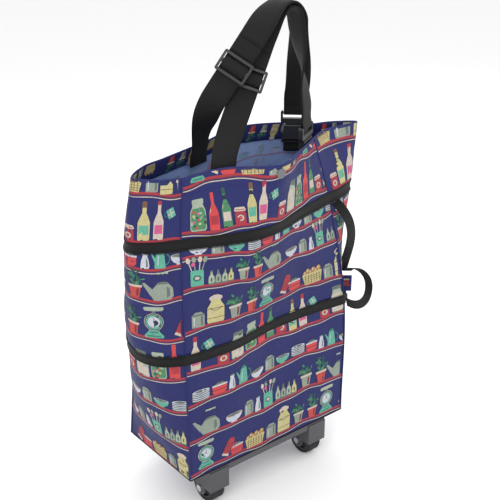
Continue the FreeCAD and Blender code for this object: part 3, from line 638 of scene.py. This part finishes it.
def hanging_mug():
    return [("ink", moved(pot((0.4, 0), (0.4, 9)), 1, 42)), ("teal", moved(pot((6, -6), (6, 7)), 0, 34, 0.4)),
            ("cream", moved(pot((6, -1), (6, 0.4)), 0, 34, 0.4)),
            ("cream", moved(pot((0.7, -6), (0.7, 7)), 0, 34, 0.4)),
            ("deep_teal", bow(-7, 33, 4, 1.2, 90, 290))]


def pitcher():
    return [("white", pot((5, 0), (6, 3), (5, 12), (3, 19), (4, 24))), ("shade", oval(0, 24, 4, 1.2, 10)),
            ("shade", [(1.5, 2), (4, 3), (3.4, 12), (1.5, 17)])]


MOTIFS = {
    "green_bottle": (lambda: bottle("green", "leaf", "cream"), 9),
    "oil": (lambda: bottle("yellow", "brown", "teal"), 9),
    "cordial": (lambda: bottle("cream", "red", "pink"), 9),
    "sauce": (lambda: bottle("coral", "coral", "red"), 9),
    "pickles": (lambda: jar("green", "glass", ("coral", "leaf", "yellow", "pink")), 13),
    "flour": (lambda: jar("cream", "shade", ("cream", "white", "yellow")), 13), "jam": (jam, 11),
    "kettle": (lambda: kettle("stone"), 24), "coffee": (coffee_pot, 14),
    "bowl": (lambda: bowl("white", "cream"), 16),
    "green_bowl": (lambda: bowl("teal", "white"), 16), "plates": (plates, 16),
    "red_plant": (lambda: plant("clay", 26), 15), "grey_plant": (lambda: plant("stone", 20), 15),
    "scales": (scales, 16), "glove": (glove, 14), "basket": (basket, 21), "churn": (churn, 14),
    "utensils": (utensils, 13), "canister": (lambda: canister("stone"), 11), "cruets": (cruets, 22),
    "casserole": (casserole, 14), "mug": (hanging_mug, 10), "pitcher": (pitcher, 8),
}
GRID = 7.0      # largest triangle of the print, so that it follows the cloth
LAYER = 0.014   # each printed colour lies this far over the one before it


def template(name):
    """A motif cut into small flat triangles: points, triangles and their layer and colour."""
    mesh = bmesh.new()
    layer_of = mesh.faces.layers.int.new("layer")
    drawn = MOTIFS[name][0]()
    layers = []
    for colour, shape in drawn:
        middle = Vector((sum(x for x, _ in shape), sum(y for _, y in shape))) / len(shape)
        if len(shape) > 8 and len(shape) != BOW_POINTS and colour != "ink":
            rim = [Vector(p) + (Vector(p) - middle).normalized() * 0.55 for p in shape]
            layers.append(("ink", [tuple(p) for p in rim]))
        layers.append((colour, shape))
    for number, (colour, shape) in enumerate(layers):
        face = mesh.faces.new([mesh.verts.new((x, y, 0)) for x, y in shape])
        face[layer_of] = number
        face.normal_update()
    bmesh.ops.triangulate(mesh, faces=mesh.faces[:])
    for axis in (0, 1):
        span = [v.co[axis] for v in mesh.verts]
        first, last = math.floor(min(span) / GRID) + 1, math.ceil(max(span) / GRID)
        for line in range(first, last):
            spot, way = Vector(), Vector()
            spot[axis], way[axis] = line * GRID + 0.003, 1
            everything = mesh.verts[:] + mesh.edges[:] + mesh.faces[:]
            bmesh.ops.bisect_plane(mesh, geom=everything, plane_co=spot, plane_no=way)
    bmesh.ops.triangulate(mesh, faces=mesh.faces[:])
    mesh.verts.index_update()
    points = [(v.co.x, v.co.y) for v in mesh.verts]
    faces = [([v.index for v in f.verts], f[layer_of], layers[f[layer_of]][0]) for f in mesh.faces]
    mesh.free()
    return points, faces


TEMPLATES = {name: template(name) for name in MOTIFS}


def tinted(piece, colours):
    """Gives each face of a piece its printed colour."""
    tint = piece.data.color_attributes.new("Tint", "FLOAT_COLOR", "CORNER")
    for face, colour in zip(piece.data.polygons, colours):
        for loop in face.loop_indices:
            tint.data[loop].color = colour


class Print:
    """Printed shapes gathered into one mesh for each section of the bag."""

    def __init__(self):
        self.parts = {name: ([], [], [], []) for name in ("lower", "middle", "upper", "facing", "inside")}

    def put(self, part, corners, layer_colour, uvs):
        points, faces, colours, marks = self.parts[part]
        start = len(points)
        points.extend(corners)
        marks.extend(uvs)
        faces.append(tuple(range(start, start + len(corners))))
        colours.append(layer_colour)

    def part_at(self, z):
        return "lower" if z < FOLD_LOW else "middle" if z < FOLD_HIGH else "upper"

    def shape(self, side, x0, z0, scale, points, faces, flip=1, inside=None, limit=RIM - 0.4):
        """Lays a cut shape on a side, standing at x0, z0; inside is its depth behind the outer face."""
        width = WIDTHS[side]
        for corners, layer, colour in faces:
            flat = [(x0 + points[k][0] * scale * (-1 if inside else 1), z0 + flip * points[k][1] * scale)
                    for k in corners]
            if any(x < 1 or x > width - 1 or z > limit for x, z in flat):
                continue
            if inside is None:
                lift, part = 0.28 + LAYER * layer, self.part_at(sum(z for _, z in flat) / len(flat))
            else:
                lift, part = -inside - 0.25 - LAYER * layer, "facing" if inside > 2 else "inside"
                flat = flat[::-1]
            solid = [surface(side, x / width, z, lift) for x, z in flat]
            self.put(part, solid, TINT[colour], flat)

    def line(self, side, z_of, low, high, colour, lift, inside=None):
        """A wavy stripe along a shelf, from z_of(x) + low to z_of(x) + high."""
        width = WIDTHS[side]
        count = round(width / 5)
        for k in range(count):
            xs = (width * k / count, width * (k + 1) / count)
            flat = [(xs[0], z_of(xs[0]) + low), (xs[1], z_of(xs[1]) + low), (xs[1], z_of(xs[1]) + high),
                    (xs[0], z_of(xs[0]) + high)]
            if min(z for _, z in flat) < 0.5:
                continue
            part = self.part_at(flat[0][1])
            if inside is not None:
                lift, flat, part = -inside, flat[::-1], "inside"
            self.put(part, [surface(side, x / width, z, lift) for x, z in flat], TINT[colour], flat)

    def build(self):
        made = (("lower", "base"), ("middle", None), ("upper", "upper_bag"), ("facing", "upper_bag"),
                ("inside", "upper_bag"))
        for part, body in made:
            points, faces, colours, uvs = self.parts[part]
            look = MAT["faint" if part == "inside" else "print"]
            piece = new_piece(f"print_{part}", points, faces, [look], body, uvs=uvs)
            tinted(piece, colours)
            if part == "middle":
                fold_with_middle(piece)


def shelf_wave(side, level):
    """Height of a shelf along one side: printed wavy, each at its own phase."""
    phase = level * 0.37 + side * 1.9
    drop = -9 if side in (RIGHT, LEFT) else 0
    return lambda x: level + drop + 2.6 * math.sin(x / 27 + phase) + 1.2 * math.sin(x / 11 + 2 * phase)


def stand_inside(gathered, side, things, turn, spacing, level_at, scale, where):
    """A row of things on the facing or the lining; spacing is start, margin, share of width and gap."""
    x, margin, share, gap = spacing
    while x < WIDTHS[side] - margin:
        name = things[turn % len(things)]
        half = MOTIFS[name][1] * share
        x += half
        gathered.shape(side, x, level_at(x), scale, *TEMPLATES[name], **where)
        x += half + gap
        turn += 1


TALL = 60           # room that a motif of scale 1 takes over its shelf
UNDER_ZIP = 408     # this shelf's things are hidden above the upper zip


def printed():
    """Rows of kitchenware on wavy shelves; each row repeats its own list of things round the bag."""
    bottles = ("green_bottle", "jam", "oil", "cordial", "mug", "jam", "flour", "pickles", "sauce")
    crockery = ("canister", "green_bowl", "plates", "casserole", "pitcher", "coffee", "bowl")
    plants = ("red_plant", "kettle", "bowl", "canister", "pitcher", "utensils", "cruets", "grey_plant")
    market = ("scales", "glove", "casserole", "basket", "canister", "churn", "grey_plant", "red_plant")
    rows = ((14, 66, market), (81, 69, plants), (150, 64, crockery), (209, 72, bottles), (286, 70, market),
            (356, 64, plants), (UNDER_ZIP, 66, crockery), (450, 68, bottles), (523, 60, market))
    gathered = Print()
    for number, (level, room, things) in enumerate(rows):
        for side in range(4):
            wave = shelf_wave(side, level)
            gathered.line(side, wave, -3.4, 0.2, "red", 0.16)
            gathered.line(side, wave, -5.0, -3.4, "dark_red", 0.15)
            gathered.line(side, wave, -8.2, -6.7, "cream", 0.15)
            x = 6 + RANDOM.uniform(0, 8)
            turn = number + side * 3
            while x < WIDTHS[side] - 8:
                name = things[turn % len(things)]
                scale = room / TALL * RANDOM.uniform(0.97, 1.05)
                x += MOTIFS[name][1] * scale
                top = ZIPS["upper"] if level == UNDER_ZIP else RIM - 0.4
                gathered.shape(side, x, wave(x), scale, *TEMPLATES[name], limit=top)
                x += MOTIFS[name][1] * scale + RANDOM.uniform(-0.5, 1.5)
                turn += 1
    for side in range(4):
        facing = dict(flip=-1, inside=3.0, limit=RIM + 1)
        stand_inside(gathered, side, market, side, (12.0, 12, 0.7, 2.0), lambda x: RIM - 1.5, 0.62, facing)
        for level, things in ((478, crockery), (440, plants), (400, ())):
            wave = shelf_wave(side, level + (9 if side in (RIGHT, LEFT) else 0))
            gathered.line(side, wave, -3.4, 0.2, "red", 0, inside=1.9)
            if things:
                lining = dict(inside=1.75, limit=RIM - 30)
                stand_inside(gathered, side, things, side + level, (8.0, 16, 0.95, 5.0), wave, 0.72, lining)
    gathered.build()


printed()


# ---------------------------------------------------------------- seams, hem stitching and bottom
def tube_along(path, radius, sides=6):
    """A round bead along points: its points, faces and UVs."""
    points, uvs = [], []
    walked = 0.0
    for n, point in enumerate(path):
        way = (path[min(n + 1, len(path) - 1)] - path[max(n - 1, 0)]).normalized()
        aside = way.orthogonal().normalized() if n == 0 else (aside - way * aside.dot(way)).normalized()
        other = way.cross(aside)
        walked += (point - path[max(n - 1, 0)]).length
        for k in range(sides):
            a = math.tau * k / sides
            points.append(point + aside * (radius * math.cos(a)) + other * (radius * math.sin(a)))
            uvs.append((walked, k * radius))
    return points, strips(len(path), sides) + ends_of(len(points), sides), uvs


def joined(parts):
    """Several (points, faces, uvs) as one."""
    points, faces, uvs = [], [], []
    for p, f, u in parts:
        start = len(points)
        points += p
        uvs += u
        faces += [tuple(k + start for k in face) for face in f]
    return points, faces, uvs


def seam_beads():
    """A turned seam stands up as a thin ridge at each corner of the bag."""
    spans = {"lower": (1, FOLD_LOW, "base"), "middle": (FOLD_LOW + 3, FOLD_HIGH - 3, None),
             "upper": (FOLD_HIGH, RIM - 0.5, "upper_bag")}
    for name, (low, high, body) in spans.items():
        beads = []
        for side in range(4):
            count = round((high - low) / 6)
            levels = [low + (high - low) * n / count for n in range(count + 1)]
            beads.append(tube_along([surface(side, 0, z, 0.5) for z in levels], 1.1))
        piece = sew(f"seams_{name}", joined(beads), "navy", body)
        if name == "middle":
            fold_with_middle(piece)


def hem_stitches():
    """A row of short raised stitches right round the hem."""
    z, pitch, long = RIM - 25, 4.2, 2.6
    beads = []
    for side in range(4):
        count = round(WIDTHS[side] / pitch)
        for k in range(count):
            share, reach = (k + 0.5) / count, 0.5 * long / WIDTHS[side]
            bead = [surface(side, share + reach * step, z, out)
                    for step, out in ((-1, -0.05), (0, 0.22), (1, -0.05))]
            beads.append(tube_along(bead, 0.22, 5))
    sew("hem_stitches", joined(beads), "navy", "upper_bag")


def bottom():
    """The bag's bottom cloth with a corded edge."""
    count, inset = 24, 1.2
    wide, deep = WIDTHS[:2]
    points, uvs = [], []
    for n in range(count + 1):
        for k in range(count + 1):
            u, v = k / count, n / count
            sag = 0.2 * math.sin(math.pi * u) * math.sin(math.pi * v)
            points.append((inset + u * (wide - 2 * inset), inset + v * (deep - 2 * inset), 0.35 - sag))
            uvs.append((u * wide, v * deep))
    new_piece("bottom_cloth", points, grid_faces(count, flipped=True), [MAT["navy"]], "base",
              ["bottom_panel"], uvs=uvs)
    ring = [surface(side, k / 20, 0, 0.1) + Vector((0, 0, 0.9)) for side in range(4) for k in range(20)]
    sew("bottom_cord", tube_along(ring + ring[:1], 1.25), "tape", "base")


seam_beads()
hem_stitches()
bottom()


# ---------------------------------------------------------------- zips
# Across a zip half from its lower edge to its upper one: height from the middle and distance out.
TAPE_PROFILE = ((-8.7, 0.3), (-8.5, 1.1), (-7.6, 1.35), (-4.0, 1.5), (0.0, 1.6), (4.0, 1.5), (7.6, 1.4),
                (8.5, 1.1), (8.7, 0.3))


def zip_half(name, level, teeth_side):
    """Woven tape right round the bag, a topstitched line, and its coil of teeth along the free edge."""
    rows = [(level + dz, out + 0.35, 0) for dz, out in TAPE_PROFILE]
    points, faces, marks, uvs = around(rows)
    body = "base" if name == "lower" else "upper_bag"
    new_piece(f"zip_band_{name}", points, faces, [MAT["tape"]], body, [f"zip_tape_{name}"],
              marks, uvs)
    beads = []
    for dz, radius in ((6.0 * teeth_side, 0.42), (-6.2 * teeth_side, 0.35)):
        ring = [surface(side, k / STEPS, level + dz, 1.85) for side in range(4) for k in range(STEPS)]
        beads.append(tube_along(ring + ring[:1], radius, 5))
    sew(f"zip_topstitch_{name}", joined(beads), "tape", body)
    edge = level + (ZIP_HALF + 1.3) * teeth_side
    pitch = 2.5
    beads = []
    for side in range(4):
        count = round(WIDTHS[side] / pitch)
        for k in range(count):
            share = (k + 0.5) / count
            reach = 0.42 / count
            turn = [surface(side, share - reach, edge - 1.4 * teeth_side, 0.7),
                    surface(side, share - reach * 0.6, edge, 2.2),
                    surface(side, share + reach * 0.6, edge + 0.7 * teeth_side, 1.7),
                    surface(side, share + reach, edge - 0.4 * teeth_side, 0.6)]
            beads.append(tube_along(turn, 0.42, 5))
    sew(f"zip_teeth_{name}", joined(beads), "acetal", body, [f"zip_coil_{name}"])


zip_half("lower", ZIPS["lower"], 1)
zip_half("upper", ZIPS["upper"], -1)


# ---------------------------------------------------------------- webbing
WEB, THICK = 40.0, 1.3
PLY = THICK + 0.2
HANDLES = {
    "front": {"root_x": 76, "pivot_left": (88, 12, 572), "low": (126, 30, 603), "high": (180, 42, 693),
              "top": (221, 34, 748), "shoulder": (243, 34, 722), "pivot_right": (258, 23, 592),
              "bar": (257, 21.5, 555), "lean": (0, 0.30, 0.95), "right_turn": -1,
              "bar_across": (-0.87, -0.49, 0), "reach": 15},
    "back": {"root_x": 108, "pivot_left": (105, 96, 575), "low": (100.5, 49, 628), "high": (155.5, 31, 708),
             "top": (221, 35, 756), "shoulder": (252, 38, 722), "pivot_right": (292, 85, 592),
             "bar": (296, 90, 555), "lean": (0, -0.50, 0.87), "right_turn": 1,
             "bar_across": (0.73, -0.68, 0), "reach": 20},
}
GLIDE = Vector((0.80, -0.60, 0))
BAR_LOOP = 2.6      # inside radius of the webbing's turn round a buckle's bar
MEET = 12           # the two plies come together this far above the bar
GLIDE_HALF, TONGUE = 17, 26
X_WAY, Y_WAY, Z_WAY = Vector((1, 0, 0)), Vector((0, 1, 0)), Vector((0, 0, 1))


def square(direction, other):
    """The part of a direction that is square to another one."""
    unit = other.normalized()
    return (direction - unit * direction.dot(unit)).normalized()


def bezier(start, start_pull, end, end_pull, u):
    p1, p2 = start + start_pull, end - end_pull
    return start * (1 - u) ** 3 + p1 * (3 * u * (1 - u) ** 2) + p2 * (3 * u * u * (1 - u)) + end * u ** 3


def stations_on(path, turns):
    """(point, way, width direction) along a path; turns are (index of the path point, direction)."""
    lengths = [0.0]
    for a, b in zip(path, path[1:]):
        lengths.append(lengths[-1] + (b - a).length)
    result = []
    for n, point in enumerate(path):
        way = (path[min(n + 1, len(path) - 1)] - path[max(n - 1, 0)]).normalized()
        low = max(k for k in range(len(turns) - 1) if n >= turns[k][0])
        first, last = lengths[turns[low][0]], lengths[turns[low + 1][0]]
        u = min(1, (lengths[n] - first) / (last - first))
        ease = u * u * (3 - 2 * u)
        result.append((point, way, (turns[low][1] * (1 - ease) + turns[low + 1][1] * ease).normalized()))
    return result


# Across a strap: share of its half width and which face, so that its two edges are rounded.
SECTION = ((-1.0, -0.45), (-0.985, -1.0), (-0.5, -1.0), (0.0, -1.0), (0.5, -1.0), (0.985, -1.0), (1.0, -0.45),
           (1.0, 0.45), (0.985, 1.0), (0.5, 1.0), (0.0, 1.0), (-0.5, 1.0), (-0.985, 1.0), (-1.0, 0.45))


def ribbon(stations, middle=0.0, width=WEB, thick=THICK, capped=True):
    """Flat webbing through its stations: points, faces and UVs. middle is its centre's offset."""
    points, uvs = [], []
    walked = 0.0
    for n, (point, way, across) in enumerate(stations):
        out = across.cross(square(way, across)).normalized()
        walked += (point - stations[max(0, n - 1)][0]).length
        for share, face in SECTION:
            points.append(point + across * (share * width / 2) + out * (middle + face * thick / 2))
            uvs.append((walked, share * width / 2))
    faces = strips(len(stations), len(SECTION))
    return points, faces + (ends_of(len(points), len(SECTION)) if capped else []), uvs


def inside_rim(side, x, z, depth):
    """A point inside one side's wall at this x and height, and the wall's run there in plan."""
    shares = [k / 80 for k in range(81)]
    found = min(shares, key=lambda share: abs(plan(side, share, z).x - x))
    run = plan(side, min(1, found + 0.02), z) - plan(side, max(0, found - 0.02), z)
    run = Vector((run.x, run.y, 0)).normalized()
    spot = plan(side, found, z) - outward(side, found, z) * depth
    return Vector((spot.x, spot.y, z)), run * (1 if run.x > 0 else -1)


def bends(data):
    """A handle's tilt axis, its upward way at the left root and its downward way at the right one."""
    left, right = Vector(data["pivot_left"]), Vector(data["pivot_right"])
    axis = (right - left).normalized()
    return axis, square(Vector(data["lean"]), axis), square(right - Vector(data["shoulder"]), axis)


def right_middle(data):
    """Where the inner ply of the right leg meets the tilt axis."""
    axis, _, down = bends(data)
    return Vector(data["pivot_right"]) - (axis * data["right_turn"]).cross(down) * (PLY / 2)


def finer(count):
    """Steps of a curve, without its end, which the next curve starts from."""
    return [k / count for k in range(count)]


def handle(name, side):
    """One handle: its sewn root, the run up through its adjuster, the arch, and the doubled right leg."""
    data = HANDLES[name]
    _, _, down = bends(data)
    low, high, top, shoulder, bar = (Vector(data[key]) for key in ("low", "high", "top", "shoulder", "bar"))
    way = (high - low).normalized()
    glide = square(GLIDE, way)
    sewn = [inside_rim(side, data["root_x"], RIM - drop, 7.3) for drop in (34, 28, 20, 12, 6)]
    root = [point for point, _ in sewn[:-1]]
    end = right_middle(data)
    drop = (end - shoulder).normalized()
    climb = [bezier(sewn[-1][0], Z_WAY * 30, low, way * 30, u) for u in finer(24)]
    straight = [low + (high - low) * u for u in finer(12)]
    rise = [bezier(high, way * 30, top, X_WAY * data["reach"], u) for u in finer(16)]
    arch = [bezier(top, X_WAY * 14, shoulder, drop * 16, u) for u in finer(14)]
    leg = [bezier(shoulder, drop * 30, end, down * 30, u) for u in finer(20)]
    across = Vector(data["bar_across"]).normalized()
    bar_way = square(bar - end, across)
    meet = bar - bar_way * MEET
    stub = [bezier(end, down * 8, meet, bar_way * 8, k / 8) for k in range(9)]
    path = root + climb + straight + rise + arch + leg + stub
    marks, index = [(0, sewn[0][1]), (len(root), sewn[-1][1])], len(root)
    for piece, direction in ((climb, glide), (straight, glide), (rise, -Y_WAY), (arch, -Y_WAY),
                             (leg, across)):
        index += len(piece)
        marks.append((index, direction))
    marks.append((len(path) - 1, across))
    stations = stations_on(path, marks)
    stations[0] = (path[0], Z_WAY, sewn[0][1])
    stations[-1] = (meet, bar_way, across)
    gap = low + way * ((high - low).length / 2 + GLIDE_HALF + TONGUE + 1)
    out = across.cross(bar_way)
    reach = BAR_LOOP + THICK / 2
    turn = [(bar + (bar_way * math.sin(a) - out * math.cos(a)) * reach,
             out * math.sin(a) + bar_way * math.cos(a), across)
            for a in (math.pi * k / 12 for k in range(13))]
    doubled = [(gap, way, glide)] + [s for s in stations[len(root) + len(climb):]
                                     if (s[0] - gap).dot(way) > 4 or s[0].x > high.x]
    around_bar = [(meet, bar_way, across)] + turn + [(meet + out * PLY, -bar_way, across)]
    points, faces, uvs = joined([ribbon(stations), ribbon(doubled, PLY), ribbon(around_bar, capped=False)])
    nodes = [f"handle_{name}_inner_ply", f"handle_{name}_outer_ply", f"handle_{name}_loop"]
    if name == "front":
        nodes.append("handle_roots")
    piece = new_piece(f"handle_webbing_{name}", points, faces, [MAT["webbing"]], None, nodes,
                      uvs=uvs)
    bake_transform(piece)
    centre = low + way * ((high - low).length / 2)
    slide_webbing(name, centre, way, glide)
    hang = bar - Z_WAY * 49
    tail = [(hang - Z_WAY * drop, -Z_WAY, across) for drop in (0, 6, 12, 18)]
    return ribbon(tail)


def slide_webbing(name, centre, way, glide):
    """The webbing that goes over the slide's middle bar, and its tongue under the doubled ply."""
    out = glide.cross(way).normalized()
    near = THICK / 2 + 0.45
    humps = ((-9.6, near + 0.6), (-8.6, near + 2.0), (-6.8, near + 3.8), (-4.2, near + 4.8), (0, near + 5.1),
             (4.2, near + 4.8), (6.8, near + 3.8), (8.6, near + 2.0), (9.6, near + 0.6))
    middle = [centre + way * along + out * rise for along, rise in humps]
    hump = [(p, (middle[min(n + 1, 8)] - middle[max(n - 1, 0)]).normalized(), glide)
            for n, p in enumerate(middle)]
    start = GLIDE_HALF + 0.5
    tongue = [(centre + way * (start + TONGUE * k / 5) + out * PLY, way, glide) for k in range(6)]
    sew(f"slide_webbing_{name}", joined([ribbon(hump, 0.0, WEB, 1.1), ribbon(tongue, 0.0, WEB, 1.1)]),
        "webbing", f"adjuster_{name}", [f"adjuster_webbing_{name}"])


tails = [handle("front", FRONT), handle("back", BACK)]
sew("buckle_tails", joined(tails), "webbing", "upper_bag", ["socket_tails"])


# ---------------------------------------------------------------- zip ends and their tab
TAPE_WIDE, TAPE_THICK = 16, 1.2
TAB = Vector((386, 55, 225))
TAB_ACROSS = Vector((0.78, -0.63, 0)).normalized()


def zip_ends():
    """The two loose ends of the zips and the stub under the tab, as flat tape."""
    tab_top = TAB + Z_WAY * 16
    upper_exit, lower_exit = Vector((303, -4, 424)), Vector((338.5, -5, 227))
    upper = [bezier(upper_exit, Vector((34, -34, -44)), tab_top + Vector((2, 3, 8)), Vector((-6, 4, -45)),
                    k / 24) for k in range(25)]
    stations = stations_on(upper, [(0, Vector((0.54, -0.46, 0.70))), (24, TAB_ACROSS)])
    piece = sew("zip_end_upper", ribbon(stations, 0, TAPE_WIDE, TAPE_THICK),
                "tape", "base", ["zip_tail_upper"])
    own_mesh(piece)
    bend = Vector((406, 8, 236))
    lower = [bezier(lower_exit, Vector((24, -16, -20)), bend, Vector((2, 6, 26)), k / 18) for k in range(18)]
    lower += [bezier(bend, Vector((2, 8, 24)), tab_top + Vector((6, -5, 9)), Vector((-4, 8, -14)), k / 16)
              for k in range(17)]
    stations = stations_on(lower, [(0, Vector((0, 0.3, 1))), (34, TAB_ACROSS * -1)])
    sew("zip_end_lower", ribbon(stations, 0, TAPE_WIDE, TAPE_THICK), "tape", "base", ["zip_tail_lower"])
    stub = [(TAB + Z_WAY * (-15.5 - 24.5 * k / 8), -Z_WAY, TAB_ACROSS) for k in range(9)]
    sew("zip_end_stub", ribbon(stub, 0, TAPE_WIDE, TAPE_THICK), "tape", "base", ["zip_stub"])


def tab_print(out):
    """A shelf line and two small things printed on each face of the tab."""
    points, faces, colours, uvs = [], [], [], []
    band = [((x, -4.6), (x + 4, -4.6), (x + 4, -1.8), (x, -1.8)) for x in range(-14, 14, 4)]
    shapes = [(quad, "red") for quad in band]
    for name, x, scale in (("casserole", -7, 0.5), ("jam", 7, 0.55)):
        flat, cut = TEMPLATES[name]
        shapes += [(tuple((x + flat[k][0] * scale, -1.6 + flat[k][1] * scale) for k in corners), colour)
                   for corners, _, colour in cut]
    for face in (1, -1):
        for number, (corners, colour) in enumerate(shapes):
            start = len(points)
            for x, z in corners if face < 0 else corners[::-1]:
                puff = 1.9 * ((1 - (x / 17) ** 4) * (1 - (z / 16) ** 4)) ** 0.4 + 0.45
                points.append(TAB + TAB_ACROSS * x + Z_WAY * z + out * (face * (puff + 0.004 * number)))
                uvs.append((x, z))
            faces.append(tuple(range(start, len(points))))
            colours.append(TINT[colour])
    piece = new_piece("print_tab", points, faces, [MAT["print"]], "base", uvs=uvs)
    tinted(piece, colours)


def tab():
    """The small doubled piece of printed cloth sewn over the zip's ends, puffed between its seams."""
    out = TAB_ACROSS.cross(Z_WAY)
    count = 16
    points, faces, uvs = [], [], []
    for face in (1, -1):
        for n in range(count + 1):
            for k in range(count + 1):
                u, v = 2 * k / count - 1, 2 * n / count - 1
                puff = 1.9 * ((1 - u ** 4) * (1 - v ** 4)) ** 0.4
                ripple = 0.25 * noise.noise(Vector((u * 2, v * 2, face * 3)))
                points.append(TAB + TAB_ACROSS * (17 * u) + Z_WAY * (16 * v) + out * (face * (puff + ripple)))
                uvs.append((17 * u, 16 * v))
        faces += grid_faces(count, len(points) - (count + 1) ** 2, face > 0)
    piece = new_piece("zip_tab_cloth", points, faces, [MAT["navy"]], "base", ["zip_end_tab"],
                      uvs=uvs)
    tab_print(out)
    merge = bmesh.new()
    merge.from_mesh(piece.data)
    bmesh.ops.remove_doubles(merge, verts=merge.verts, dist=0.00002)
    bmesh.ops.recalc_face_normals(merge, faces=merge.faces)
    merge.to_mesh(piece.data)
    merge.free()


zip_ends()
tab()
